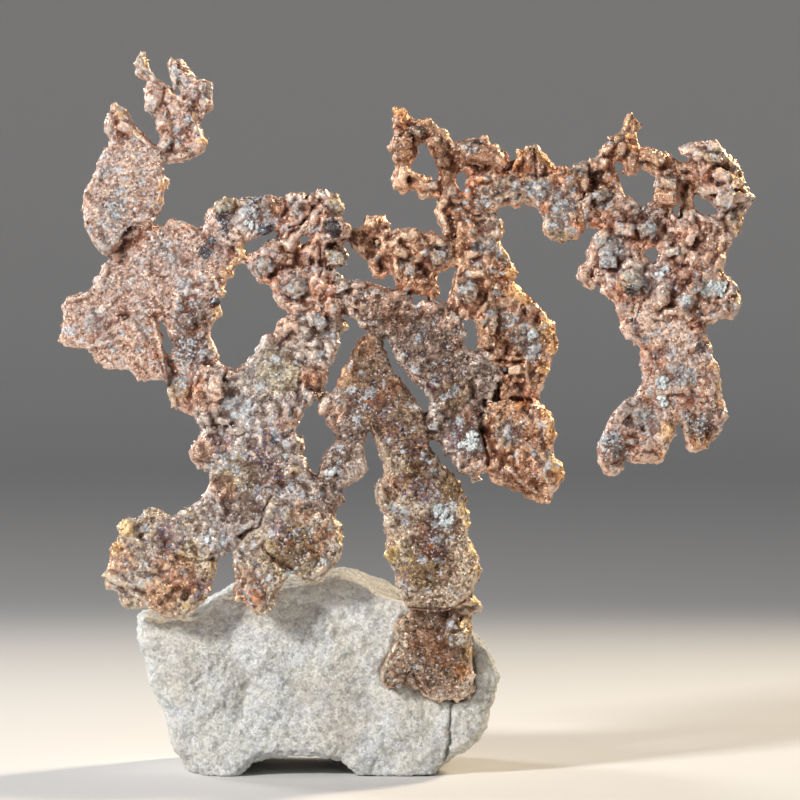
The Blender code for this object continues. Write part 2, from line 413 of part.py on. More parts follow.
# Knobs that stand out in the outline: x, z, depth, radius
KNOBS = [
    (-36.9, 84.3, 4.0, 0.75), (-30.7, 86.6, 4.8, 0.55), (-25.4, 86.2, 3.2, 1.3), (-25.4, 84.2, 3.4, 1.3),
    (-20.9, 65.3, 0.6, 1.1), (-21.9, 64.4, 0.8, 0.8), (-22.9, 63.0, 0.6, 1.1), (-23.2, 60.5, 0.8, 0.8),
    (-23.8, 57.9, 0.8, 1.1), (-22.8, 71.0, 0.6, 1.5), (-19.8, 71.2, 0.2, 1.6), (-17.3, 71.4, 0.2, 1.7),
    (-14.4, 71.9, 0.2, 0.9), (-12.9, 71.9, -0.2, 0.9), (-10.5, 72.2, 0.0, 1.1), (-9.4, 69.0, -0.8, 1.6),
    (-14.4, 69.4, -0.6, 1.4), (-16.4, 66.3, -0.6, 1.3), (-18.0, 64.0, -0.4, 1.7), (-14.6, 66.3, -0.4, 1.1),
    (-9.2, 58.9, -0.9, 1.3), (-8.1, 56.4, 0.8, 1.0), (-14.8, 56.4, -1.2, 1.4), (-17.4, 54.2, -1.2, 1.2),
    (-12.2, 48.2, -0.6, 1.5), (-11.4, 49.4, 0.2, 1.1), (-13.4, 41.6, -0.4, 1.0), (-23.9, 48.8, -1.8, 1.8),
    (-24.8, 41.2, -1.8, 1.8), (-10.0, 46.6, -1.4, 1.1), (-9.2, 44.4, -1.6, 1.0), (-7.2, 51.2, -1.6, 0.9),
    (-4.6, 54.2, -1.8, 1.3), (-7.0, 58.3, -0.6, 0.9), (-0.8, 59.8, -1.2, 1.2), (3.0, 58.4, -1.0, 1.5),
    (8.4, 51.6, -1.4, 1.6), (6.5, 52.9, -1.0, 0.9), (4.6, 41.8, -1.4, 0.8), (3.2, 44.2, -1.2, 1.2),
    (13.6, 50.9, -0.6, 1.2), (7.6, 60.6, -0.6, 2.0), (9.8, 54.8, -0.6, 1.2), (10.9, 69.2, 0.2, 1.2),
    (11.0, 67.9, 0.4, 0.9), (12.6, 63.0, 0.4, 1.0), (8.4, 37.5, 1.4, 0.9), (17.9, 38.8, -0.6, 1.4),
    (29.1, 81.4, 4.0, 0.7), (28.0, 82.3, 3.8, 0.7), (22.2, 76.2, 2.6, 1.0), (24.5, 76.6, 2.6, 1.2),
    (39.8, 71.9, 1.6, 1.5), (38.2, 77.4, 1.6, 1.6), (40.4, 74.6, 1.4, 1.5), (32.6, 74.2, 1.8, 1.2),
    (27.2, 62.0, 0.8, 1.8), (24.6, 66.6, 0.8, 1.6), (30.6, 69.0, 0.8, 1.6), (31.6, 60.0, 0.8, 1.6),
    (37.6, 65.0, 0.8, 1.5), (34.4, 66.4, 0.8, 1.6), (40.2, 59.8, 1.6, 1.6), (27.4, 58.4, 1.4, 1.1),
    (27.6, 56.0, 0.8, 1.1), (36.6, 42.4, 0.8, 1.5), (25.2, 39.6, 0.2, 1.3), (32.6, 43.4, 0.6, 0.9),
    (-30.8, 24.2, -3.2, 1.6), (-34.6, 31.0, -2.6, 1.5), (-27.8, 21.4, -2.2, 0.8), (-29.6, 22.0, -2.4, 0.9),
    (-36.6, 24.9, -2.0, 1.0), (-27.4, 24.6, -3.0, 1.6), (-31.8, 32.6, -1.4, 1.2), (-18.6, 22.2, -3.6, 1.0),
    (-10.6, 32.2, -3.2, 1.2), (-9.8, 28.2, -3.0, 1.2), (6.4, 18.2, -1.0, 1.6), (7.6, 14.0, -0.6, 0.9),
]

# Lines along which the branches part, seen from the front
FORKS = [
    [(-4.9, 40.8), (-4.75, 43.6), (-9.6, 50.0)],
    [(-11.8, 39.6), (-11.4, 37.5), (-7.2, 35.6)],
    [(-22.6, 27.4), (-19.9, 31.0), (-18.0, 31.9), (-17.3, 35.3), (-8.2, 32.9)],
    [(-27.2, 35.4), (-23.6, 26.6)],
    [(-22.8, 53.4), (-24.4, 51.4), (-27.0, 44.4)],
    [(-37.8, 64.8), (-36.1, 66.5), (-35.0, 68.9), (-33.3, 69.4), (-30.2, 71.0)],
    [(-31.9, 80.1), (-29.9, 76.1)],
    [(-26.0, 70.3), (-20.6, 66.2), (-19.9, 65.2), (-20.6, 62.0)],
    [(-15.0, 74.0), (-15.7, 69.0), (-17.0, 67.9), (-18.4, 67.0), (-20.2, 65.7)],
    [(-15.6, 58.1), (-7.3, 57.6)],
    [(-6.8, 69.8), (-7.4, 66.2)],
    [
        (-9.1, 63.6), (-8.5, 59.6), (-7.7, 57.7), (-6.6, 56.3), (-4.4, 55.8), (-2.9, 55.3), (-2.1, 53.6),
        (-0.9, 50.6), (1.2, 48.6), (2.1, 46.4), (2.25, 43.8), (3.4, 41.6),
    ],
    [(-7.6, 52.8), (-9.0, 50.4), (-9.9, 48.6), (-11.0, 47.6), (-11.7, 45.4), (-11.4, 43.0)],
    [
        (-6.4, 63.4), (-4.6, 62.4), (-3.3, 62.1), (-1.9, 61.3), (-0.9, 61.1), (0.4, 60.75), (1.6, 59.9),
        (3.2, 59.85), (4.8, 60.5),
    ],
    [
        (4.8, 60.9), (5.0, 59.3), (6.3, 57.9), (7.7, 56.6), (8.0, 54.9), (9.4, 53.5), (10.6, 52.0),
        (11.9, 51.2), (11.5, 49.8), (10.2, 47.1), (9.2, 43.6), (9.9, 40.8), (9.7, 36.4),
    ],
    [(10.2, 47.1), (15.2, 47.2), (17.6, 47.7)],
    [(2.8, 69.6), (4.3, 68.0), (6.0, 67.35), (6.1, 64.6), (5.3, 63.0), (4.6, 61.6)],
    [(6.0, 67.35), (6.0, 70.25), (10.4, 70.35), (11.9, 71.0)],
    [(6.9, 70.3), (6.8, 75.0)],
    [(6.6, 74.6), (6.2, 80.8)],
    [(3.8, 82.3), (2.2, 79.0)],
    [(3.2, 76.4), (4.2, 74.9), (4.3, 72.9), (3.0, 71.8)],
    [(22.3, 66.8), (22.2, 69.4), (21.7, 72.0), (21.5, 75.2), (20.2, 77.2)],
    [(21.6, 73.3), (28.0, 72.85)],
    [(29.15, 79.4), (29.2, 75.8)],
    [(33.9, 78.2), (36.3, 76.9), (36.8, 72.0)],
    [(30.2, 73.2), (31.4, 71.5), (33.6, 70.9), (36.0, 71.0), (37.3, 71.5)],
    [(37.4, 71.2), (39.2, 70.8), (42.4, 71.2), (43.9, 70.6)],
    [(32.8, 71.2), (32.2, 68.2), (30.9, 65.9), (30.3, 64.4), (30.5, 61.6), (29.4, 59.2), (28.2, 57.1)],
    [(25.8, 57.4), (28.3, 57.1), (36.6, 57.2), (38.8, 55.4)],
    [(34.0, 42.4), (34.2, 44.8), (40.6, 46.9)],
]

# Colours, and pairs of roughness and metallic value
PALE_STONE = (0.66, 0.64, 0.60)
STONE_SHEEN = (0.9, 0.0)
COPPER_SHEEN = (0.45, 0.85)
WARM = (0.50, 0.27, 0.18)
PINK = (0.55, 0.32, 0.24)
GREY = (0.42, 0.30, 0.24)
UMBER = (0.38, 0.23, 0.14)

# Each branch: a place on it seen from the front, and its colour
BRANCHES = {
    "foot_strand": ((3.0, 28.0), UMBER),
    "left_leg": ((-7.8, 40.0), GREY),
    "hanging_lobe": ((-12.5, 29.5), UMBER),
    "trunk": ((-19.0, 46.0), GREY),
    "left_foot": ((-31.0, 27.0), UMBER),
    "left_plate": ((-30.0, 63.0), PINK),
    "upper_leaf": ((-35.5, 74.0), PINK),
    "horns": ((-28.0, 80.0), PINK),
    "bridge": ((-20.0, 70.0), PINK),
    "top_cluster": ((-14.0, 62.5), PINK),
    "middle_bridge": ((1.0, 65.0), WARM),
    "diagonal": ((3.0, 55.0), GREY),
    "strand": ((12.5, 57.0), WARM),
    "lower_right_lobe": ((14.0, 41.0), WARM),
    "stem": ((5.0, 74.5), WARM),
    "spray": ((-0.4, 78.0), WARM),
    "crossbar": ((15.0, 74.0), WARM),
    "spire": ((25.0, 75.0), WARM),
    "crystal_chain": ((33.0, 74.6), WARM),
    "right_mass": ((39.5, 75.0), PINK),
    "shoulder": ((27.0, 67.0), PINK),
    "right_plate": ((35.5, 63.0), PINK),
    "tail": ((33.0, 50.0), PINK),
    "tail_spur": ((36.5, 43.0), PINK),
}

# The block seen from the front, with its feet drawn past the ground so that they end flat on it
ROCK_OUTLINE = [
    (-33.9, 19.8), (-30.5, 20.0), (-26.6, 20.1), (-24.4, 21.4), (-22.6, 23.0), (-20.5, 22.4), (-17.0, 23.4),
    (-14.0, 24.3), (-10.5, 24.5), (-8.4, 25.2), (-6.2, 24.7), (-4.0, 23.2), (-2.4, 22.7), (0.4, 21.2),
    (4.2, 20.3), (7.6, 18.8), (9.4, 16.2), (10.3, 13.8), (11.2, 11.6), (10.6, 8.6), (9.6, 5.8), (7.8, 3.0),
    (5.4, 1.8), (3.6, 2.0), (2.6, -1.5), (-5.4, -1.5), (-7.4, 2.2), (-10.5, 2.7), (-14.0, 2.8), (-18.0, 2.8),
    (-20.6, 1.6), (-21.8, -1.5), (-26.6, -1.5), (-28.4, 1.2), (-29.9, 3.6), (-30.3, 6.4), (-31.2, 9.0),
    (-32.8, 11.2), (-33.2, 15.0),
]
# Broken faces: a place on the face, and the way it looks
ROCK_CHIPS = [
    ((-12.0, 21.0, 24.0), (0.05, 0.62, 0.78)),
    ((-28.0, 22.5, 12.0), (-0.72, 0.68, 0.1)),
    ((6.5, 22.5, 10.0), (0.7, 0.7, 0.12)),
    ((-12.0, 26.5, 4.0), (0.0, 0.86, -0.5)),
    ((-31.0, 18.0, 17.5), (-0.6, 0.55, 0.58)),
    ((8.6, 12.0, 17.0), (0.66, 0.24, 0.72)),
    ((-30.5, 3.0, 4.0), (-0.6, -0.5, -0.62)),
]
CRACK = [(5.6, 10.4), (5.3, 7.4), (5.3, 4.6), (4.8, 1.0)]


def sheet_bow(x, z):
    """How far the growth bows back from its flat reference at a place seen from the front, in mm."""
    side_bow = SIDE_BOW * (x / BOW_HALF_WIDTH) ** 2 * (z / BOW_HEIGHT)
    across = math.sin(WAVE_ACROSS[0] * x + WAVE_ACROSS[1])
    up = math.sin(WAVE_UP[0] * z + WAVE_UP[1])
    return side_bow + WAVE_HEIGHT * across * up * min(1.0, z / WAVE_FADE)


def rounded_loop(corners):
    """A closed Catmull-Rom curve through the corners of an outline."""
    loop = []
    count = len(corners)
    for index in range(count):
        before, start, end, after = (Vector(corners[(index + offset) % count]) for offset in (-1, 0, 1, 2))
        for step in range(CURVE_STEPS):
            t = step / CURVE_STEPS
            swing = (end - before) * t + (2 * before - 5 * start + 4 * end - after) * t ** 2
            turn = (3 * start - before - 3 * end + after) * t ** 3
            loop.append(start + 0.5 * (swing + turn))
    return loop


def add_prism(mesh, loop, depth_front, depth_back):
    """Add a closed solid whose front and back are the loop, each at the depth its function gives, in mm."""
    fronts = [mesh.verts.new((x * MM, depth_front(x, z) * MM, z * MM)) for x, z in loop]
    backs = [mesh.verts.new((x * MM, depth_back(x, z) * MM, z * MM)) for x, z in loop]
    mesh.faces.new(fronts)
    mesh.faces.new(list(reversed(backs)))
    for index, front in enumerate(fronts):
        following = (index + 1) % len(fronts)
        mesh.faces.new((front, backs[index], backs[following], fronts[following]))


def loop_holds(loop, x, z):
    """Whether a place seen from the front is inside a loop."""
    inside = False
    for a, b in zip(loop, loop[1:] + loop[:1]):
        if (a.y > z) != (b.y > z) and x < a.x + (z - a.y) / (b.y - a.y) * (b.x - a.x):
            inside = not inside
    return inside


def edge_distance(loop, x, z):
    """How far a place seen from the front is from a loop, in mm."""
    place = Vector((x, z))
    nearest = math.inf
    for a, b in zip(loop, loop[1:] + loop[:1]):
        side = b - a
        along = max(0.0, min(1.0, (place - a).dot(side) / max(side.length_squared, 1e-9)))
        nearest = min(nearest, (place - a - side * along).length)
    return nearest


def add_crystal(mesh, chance, centre, radius):
    """Add one blunt crystal: a cube, an octahedron or a many-faced lump, turned at random."""
    turn = Euler([chance.uniform(0, math.tau) for _ in range(3)]).to_matrix().to_4x4()
    stretch = Matrix.Diagonal([chance.uniform(*CRYSTAL_STRETCH) for _ in range(3)]).to_4x4()
    place = Matrix.Translation(Vector(centre) * MM) @ turn @ stretch
    form = chance.choice(("cube", "octahedron", "lump", "lump"))
    if form == "cube":
        bmesh.ops.create_cube(mesh, size=CUBE_SIDE * radius * MM, matrix=place)
    elif form == "octahedron":
        tip = OCTAHEDRON_RADIUS * radius * MM
        bmesh.ops.create_uvsphere(mesh, u_segments=4, v_segments=2, radius=tip, matrix=place)
    else:
        bmesh.ops.create_icosphere(mesh, subdivisions=1, radius=radius * MM, matrix=place)


def add_plate(mesh, chance, outline, depth, thickness, lean_x, lean_z):
    """Add one plate of copper with lumps scattered over its front and back."""
    loop = rounded_loop(outline)
    middle = sum(loop, Vector((0, 0))) / len(loop)

    def surface(x, z, side):
        return depth + lean_x * (x - middle.x) + lean_z * (z - middle.y) + side * thickness / 2

    add_prism(mesh, loop, lambda x, z: surface(x, z, -1), lambda x, z: surface(x, z, 1))
    xs = [point.x for point in loop]
    zs = [point.y for point in loop]
    tries = int((max(xs) - min(xs)) * (max(zs) - min(zs)) / LUMP_AREA)
    for side in (-1, 1):
        for _ in range(tries):
            x = chance.uniform(min(xs), max(xs))
            z = chance.uniform(min(zs), max(zs))
            radius = chance.uniform(*LUMP_SIZES) * min(1.0, thickness / FULL_LUMP_THICKNESS)
            if loop_holds(loop, x, z) and edge_distance(loop, x, z) > LUMP_INSET * radius:
                add_crystal(mesh, chance, (x, surface(x, z, side) - side * LUMP_SINK * radius, z), radius)


def object_from(mesh, name):
    """Turn a bmesh into an object in the scene."""
    bmesh.ops.recalc_face_normals(mesh, faces=mesh.faces[:])
    data = bpy.data.meshes.new(name)
    mesh.to_mesh(data)
    mesh.free()
    piece = bpy.data.objects.new(name, data)
    bpy.context.scene.collection.objects.link(piece)
    return piece


def apply_modifiers(piece):
    """Replace an object's mesh by its evaluated mesh and drop its modifiers."""
    graph = bpy.context.evaluated_depsgraph_get()
    evaluated = bpy.data.meshes.new_from_object(piece.evaluated_get(graph))
    former = piece.data
    piece.modifiers.clear()
    piece.data = evaluated
    bpy.data.meshes.remove(former)


def fuse(piece, voxel):
    """Fuse overlapping solids into one skin."""
    remesh = piece.modifiers.new("fuse", "REMESH")
    remesh.mode = "VOXEL"
    remesh.voxel_size = voxel * MM
    apply_modifiers(piece)


def soften(piece, rounds):
    """Round off the skin's edges."""
    smooth = piece.modifiers.new("soften", "SMOOTH")
    smooth.factor = 0.5
    smooth.iterations = rounds
    apply_modifiers(piece)


def triangle_count(piece):
    """How many triangles an object's mesh has."""
    piece.data.calc_loop_triangles()
    return len(piece.data.loop_triangles)


def thin_out(piece, triangles):
    """Bring the skin down to about this many triangles."""
    decimate = piece.modifiers.new("thin out", "DECIMATE")
    decimate.ratio = min(1.0, triangles / triangle_count(piece))
    decimate.use_collapse_triangulate = True
    apply_modifiers(piece)


def cut(piece, cutter_mesh):
    """Take a closed bmesh away from an object."""
    cutter = object_from(cutter_mesh, "cutter")
    boolean = piece.modifiers.new("cut", "BOOLEAN")
    boolean.operation = "DIFFERENCE"
    boolean.solver = "EXACT"
    boolean.object = cutter
    apply_modifiers(piece)
    bpy.data.objects.remove(cutter)


def weather(piece, heights_and_scales):
    """Push the skin in and out by noise, in layers of height and scale, in mm."""
    mesh = piece.data
    moves = []
    for vertex in mesh.vertices:
        place = vertex.co / MM
        push = sum(height * noise.noise(place * scale) for height, scale in heights_and_scales)
        moves.append(vertex.normal * (push * MM))
    for vertex, move in zip(mesh.vertices, moves):
        vertex.co += move


def bow_sheet(piece):
    """Bend the flat growth into its wavy sheet."""
    for vertex in piece.data.vertices:
        vertex.co.y += sheet_bow(vertex.co.x / MM, vertex.co.z / MM) * MM


def ribbon(line, width, depth_front, depth_back):
    """A thin upright wall that follows a line seen from the front."""
    points = [Vector(point) for point in line]
    left = []
    right = []
    for index, point in enumerate(points):
        along_in = (point - points[max(0, index - 1)]).normalized()
        along_out = (points[min(len(points) - 1, index + 1)] - point).normalized()
        along = (along_in + along_out).normalized()
        straightness = max(SMALLEST_TURN, along.dot(along_out if index == 0 else along_in))
        across = Vector((-along.y, along.x)) * (width / 2 / straightness)
        left.append(point + across)
        right.append(point - across)
    wall = bmesh.new()
    add_prism(wall, left + right[::-1], lambda x, z: depth_front, lambda x, z: depth_back)
    return wall


def make_copper():
    """The whole copper growth as one faceted skin."""
    chance = random.Random(SEED)
    growth = bmesh.new()
    for outline, depth, thickness, lean_x, lean_z in PLATES:
        add_plate(growth, chance, outline, depth, thickness, lean_x, lean_z)
    for x, z, depth, radius in KNOBS:
        add_crystal(growth, chance, (x, depth, z), radius)
    copper = object_from(growth, "copper")
    fuse(copper, FUSE_VOXEL)
    soften(copper, SOFTEN_ROUNDS)
    weather(copper, ((RELIEF_HEIGHT, RELIEF_SCALE), (GRAIN_HEIGHT, GRAIN_SCALE)))
    bow_sheet(copper)
    thin_out(copper, COPPER_TRIANGLES)
    return copper


def loose_pieces(piece):
    """Split an object's mesh into its separate closed pieces, as bmeshes."""
    whole = bmesh.new()
    whole.from_mesh(piece.data)
    whole.verts.index_update()
    unseen = set(whole.verts)
    pieces = []
    while unseen:
        grown = {unseen.pop()}
        edge_of_growth = list(grown)
        while edge_of_growth:
            vertex = edge_of_growth.pop()
            for edge in vertex.link_edges:
                other = edge.other_vert(vertex)
                if other in unseen:
                    unseen.remove(other)
                    grown.add(other)
                    edge_of_growth.append(other)
        kept = {vertex.index for vertex in grown}
        part = bmesh.new()
        part.from_mesh(piece.data)
        part.verts.index_update()
        bmesh.ops.delete(part, geom=[v for v in part.verts if v.index not in kept], context="VERTS")
        pieces.append(part)
    whole.free()
    return pieces


def shows_at(part, x, z):
    """Whether a piece is met by looking straight back at a place seen from the front."""
    tree = BVHTree.FromBMesh(part)
    eye = Vector((x, FORK_REACH[0], z)) * MM
    hit = tree.ray_cast(eye, Vector((0, 1, 0)))
    return hit[0] is not None


def finish(name, colour, roughness, metallic):
    """A plain material for one sub-part."""
    material = bpy.data.materials.new(name)
    material.use_nodes = True
    shader = material.node_tree.nodes["Principled BSDF"]
    shader.inputs["Base Color"].default_value = (*colour, 1.0)
    shader.inputs["Roughness"].default_value = roughness
    shader.inputs["Metallic"].default_value = metallic
    return material


def part_branches(copper):
    """Part the copper at its forks and name each branch."""
    for line in FORKS:
        cut(copper, ribbon(line, FORK_GAP, *FORK_REACH))
    branches = []
    for part in loose_pieces(copper):
        volume = abs(part.calc_volume()) / MM ** 3
        names = [name for name, (place, _) in BRANCHES.items() if shows_at(part, *place)]
        if len(names) == 1:
            branch = object_from(part, names[0])
            thin_out(branch, BRANCH_THINNING * triangle_count(branch))
            branch.data.materials.clear()
            branch.data.materials.append(finish(names[0], BRANCHES[names[0]][1], *COPPER_SHEEN))
            branches.append(branch)
            print(f"{names[0]}: {volume:.0f} mm3, {triangle_count(branch)} triangles")
        elif names or volume > SMALLEST_PIECE:
            centre = sum((v.co for v in part.verts), Vector()) / len(part.verts) / MM
            raise ValueError(f"a piece of {volume:.0f} mm3 at {centre} holds {names}")
    bpy.data.objects.remove(copper)
    missing = set(BRANCHES) - {branch.name for branch in branches}
    if missing:
        raise ValueError(f"no piece found for {sorted(missing)}")
    return branches


def chip(piece, place, facing):
    """Flatten everything that stands out past a broken face."""
    normal = Vector(facing).normalized()
    limit = normal.dot(Vector(place) * MM)
    for vertex in piece.data.vertices:
        excess = normal.dot(vertex.co) - limit
        if excess > 0:
            vertex.co -= normal * excess


def swollen_copy(branch, gap):
    """A slightly larger copy of a branch's lower end, to hollow the rock with."""
    body = bmesh.new()
    body.from_mesh(branch.data)
    whole = body.verts[:] + body.edges[:] + body.faces[:]
    top = Vector((0, 0, HOLLOW_TOP * MM))
    bmesh.ops.bisect_plane(body, geom=whole, plane_co=top, plane_no=Vector((0, 0, 1)), clear_outer=True)
    bmesh.ops.holes_fill(body, edges=[edge for edge in body.edges if edge.is_boundary])
    body.normal_update()
    for vertex in body.verts:
        vertex.co += vertex.normal * (gap * MM)
    swollen_end = object_from(body, "swollen end")
    fuse(swollen_end, FUSE_VOXEL)
    thin_out(swollen_end, HOLLOW_TRIANGLES)
    swollen = bmesh.new()
    swollen.from_mesh(swollen_end.data)
    bpy.data.objects.remove(swollen_end)
    return swollen


def make_rock(root):
    """The block of granular rock, hollowed where the copper root sits in it."""
    block = bmesh.new()
    add_prism(block, ROCK_OUTLINE, lambda x, z: ROCK_FRONT, lambda x, z: ROCK_BACK)
    rock = object_from(block, "matrix_rock")
    fuse(rock, ROCK_VOXEL)
    for place, facing in ROCK_CHIPS:
        chip(rock, place, facing)
    weather(rock, ((ROCK_ROUGHNESS, ROCK_ROUGHNESS_SCALE), (ROCK_BREAKS, ROCK_BREAKS_SCALE)))
    fuse(rock, ROCK_VOXEL)
    thin_out(rock, ROCK_TRIANGLES)
    ground = bmesh.new()
    ground_size = Vector(GROUND_SIZE) * MM
    below = Matrix.Translation((0, 0, -ground_size.z / 2))
    bmesh.ops.create_cube(ground, size=1.0, matrix=below @ Matrix.Diagonal(ground_size).to_4x4())
    cut(rock, ground)
    cut(rock, ribbon(CRACK, CRACK_WIDTH, *CRACK_REACH))
    cut(rock, swollen_copy(root, ROOT_GAP))
    rock.data.materials.clear()
    rock.data.materials.append(finish("matrix_rock", PALE_STONE, *STONE_SHEEN))
    return rock


def stand_on_origin(pieces):
    """Move everything so that the middle of its box's underside is the origin."""
    places = [vertex.co for piece in pieces for vertex in piece.data.vertices]
    low = [min(place[axis] for place in places) for axis in range(3)]
    high = [max(place[axis] for place in places) for axis in range(3)]
    shift = Vector((-(low[0] + high[0]) / 2, -(low[1] + high[1]) / 2, -low[2]))
    for piece in pieces:
        for vertex in piece.data.vertices:
            vertex.co += shift
        piece.data.update()
    size = [(high[axis] - low[axis]) / MM for axis in range(3)]
    print("shift in mm", [round(value / MM, 2) for value in shift], "size in mm", [round(v, 1) for v in size])


def main():
    for leftover in list(bpy.data.objects):
        bpy.data.objects.remove(leftover)
    branches = part_branches(make_copper())
    root = next(branch for branch in branches if branch.name == "foot_strand")
    rock = make_rock(root)
    stand_on_origin([rock] + branches)


main()
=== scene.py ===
# %% [markdown]
# # Native copper on its host rock
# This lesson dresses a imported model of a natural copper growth. On the real object a wavy sheet of fused
# copper crystals stands on a block of pale, sugary rock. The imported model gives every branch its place,
# its outline and its thickness. What is left to do here is the skin: nodules, grains and flat-faced
# crystals as real mesh, and the mix of clean metal, brown tarnish and grey film as node materials.

# %% Load the frame
import json
import math

import bmesh
import bpy
import numpy as np
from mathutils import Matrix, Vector
from mathutils.bvhtree import BVHTree


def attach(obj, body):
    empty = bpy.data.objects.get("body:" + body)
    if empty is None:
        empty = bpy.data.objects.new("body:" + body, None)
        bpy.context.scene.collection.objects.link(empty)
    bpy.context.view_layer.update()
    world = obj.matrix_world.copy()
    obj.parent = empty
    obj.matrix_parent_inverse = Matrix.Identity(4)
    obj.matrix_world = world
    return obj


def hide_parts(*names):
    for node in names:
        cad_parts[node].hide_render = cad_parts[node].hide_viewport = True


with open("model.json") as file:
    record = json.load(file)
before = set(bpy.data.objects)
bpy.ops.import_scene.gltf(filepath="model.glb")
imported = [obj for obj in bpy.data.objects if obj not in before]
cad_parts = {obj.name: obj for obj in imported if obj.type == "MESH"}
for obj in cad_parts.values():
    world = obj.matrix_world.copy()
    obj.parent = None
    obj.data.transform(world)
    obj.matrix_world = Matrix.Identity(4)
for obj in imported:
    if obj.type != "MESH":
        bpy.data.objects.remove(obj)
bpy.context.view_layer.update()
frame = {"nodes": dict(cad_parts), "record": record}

MM = 0.001
scene = bpy.context.scene
branch_slots = {
    part["node"]: part["material_slot"]
    for part in frame["record"]["subparts"]
    if part["material_slot"] != "matrix_rock"
}
print("branches of copper:", len(branch_slots))

# %% [markdown]
# ## The camera
# The piece was seen from straight in front, a little above its foot, through a long lens, so near and far
# branches keep the same size. A camera could also look in parallel lines, but a long lens keeps the
# slight closeness of the front. Its view is 100 mm high at the copper, which is the frame that the
# outlines of the branches were drawn in.

# %% Camera
VIEW_HEIGHT = 100 * MM
VIEW_DISTANCE = 600 * MM
VIEW_ELEVATION = math.radians(2.0)
VIEW_CENTRE = Vector((-0.9, -10.5, 47.25)) * MM

camera_data = bpy.data.cameras.new("camera")
camera_data.sensor_width = 36
camera_data.lens = camera_data.sensor_width * VIEW_DISTANCE / VIEW_HEIGHT
camera_data.clip_start = 10 * MM
camera = bpy.data.objects.new("camera", camera_data)
scene.collection.objects.link(camera)
away = Vector((0, -math.cos(VIEW_ELEVATION), math.sin(VIEW_ELEVATION)))
camera.location = VIEW_CENTRE + away * VIEW_DISTANCE
camera.rotation_euler = (math.pi / 2 - VIEW_ELEVATION, 0, 0)
scene.camera = camera
print("lens in mm:", round(camera_data.lens))

# %% [markdown]
# ## Helpers for meshes
# Each skin starts as a copy of a branch and goes through a few of Blender's modifiers. A modifier can
# stay on the object, but the crystals are set on its finished surface, so each stack is turned into plain
# mesh. Numbers that the materials read later, such as how close a point is to a rim, are stored as
# attributes.

# %% Mesh helpers
WELD_DISTANCE = 0.001 * MM


def add_object(name, data):
    """Put a mesh into the scene as a new object."""
    piece = bpy.data.objects.new(name, data)
    scene.collection.objects.link(piece)
    return piece


def mesh_object(name, corners, faces):
    """A new object from corners and faces."""
    data = bpy.data.meshes.new(name)
    data.from_pydata(corners.tolist(), [], faces)
    return add_object(name, data)


def body_object(name, body):
    """A new object from a bmesh, which is set free."""
    data = bpy.data.meshes.new(name)
    body.to_mesh(data)
    body.free()
    return add_object(name, data)


def settle(piece):
    """Turn a piece's modifiers into plain mesh."""
    graph = bpy.context.evaluated_depsgraph_get()
    settled = bpy.data.meshes.new_from_object(piece.evaluated_get(graph))
    former = piece.data
    piece.modifiers.clear()
    piece.data = settled
    settled.name = piece.name
    bpy.data.meshes.remove(former)


def node_copy(nodes, name):
    """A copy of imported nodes, with the corners that their flat shading had split joined again."""
    body = bmesh.new()
    for node in nodes:
        body.from_mesh(frame["nodes"][node].data)
    bmesh.ops.remove_doubles(body, verts=body.verts, dist=WELD_DISTANCE)
    return body_object(name, body)


def read_vectors(items, name):
    """All vectors of a mesh collection as rows of an array."""
    values = np.empty(len(items) * 3)
    items.foreach_get(name, values)
    return values.reshape(-1, 3)


def store(piece, name, values):
    """Keep one number for each vertex, for the material to read."""
    mesh = piece.data
    attribute = mesh.attributes.get(name) or mesh.attributes.new(name, "FLOAT", "POINT")
    attribute.data.foreach_set("value", np.asarray(values, dtype=np.float32))


def read_store(piece, name):
    """The numbers that store() kept."""
    attribute = piece.data.attributes[name]
    values = np.empty(len(attribute.data), dtype=np.float32)
    attribute.data.foreach_get("value", values)
    return values


def evened(values, edges, rounds):
    """Average each vertex's value with its neighbours', again and again."""
    count = len(values)
    neighbours = np.bincount(edges.ravel(), minlength=count)
    for _ in range(rounds):
        total = np.bincount(edges[:, 0], values[edges[:, 1]], count)
        total += np.bincount(edges[:, 1], values[edges[:, 0]], count)
        values = (values + total) / (1 + neighbours)
    return values


def edges_of(piece):
    """The two ends of each edge."""
    ends = np.empty(len(piece.data.edges) * 2, dtype=np.int32)
    piece.data.edges.foreach_get("vertices", ends)
    return ends.reshape(-1, 2)


def first_corners(piece):
    """The first corner of each face."""
    return np.array([polygon.vertices[0] for polygon in piece.data.polygons])


def search_tree(piece):
    """A tree that finds the nearest face of a piece."""
    return BVHTree.FromObject(piece, bpy.context.evaluated_depsgraph_get())


def smooth_step(values, low, high):
    """0 below low, 1 above high, and a soft ramp between them."""
    share = np.clip((values - low) / (high - low), 0, 1)
    return share * share * (3 - 2 * share)


def join(target, extras):
    """Make several objects one."""
    chosen = [target, *extras]
    with bpy.context.temp_override(active_object=target, selected_editable_objects=chosen):
        bpy.ops.object.join()


# %% [markdown]
# ## One skin over all branches
# Copper like this is a sheet: its broad faces are crusted with fine grains, and its rims are smoother,
# cleaner metal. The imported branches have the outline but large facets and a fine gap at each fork. A
# sculptor would push lumps out by hand. Here all branches are swollen by half a gap and fused by a voxel
# remesh, so that they meet as one growth. Every point then remembers its branch, because branches differ
# in habit: plates are sugary, the trunk is lumpy, and the clusters at the top are all crystals.

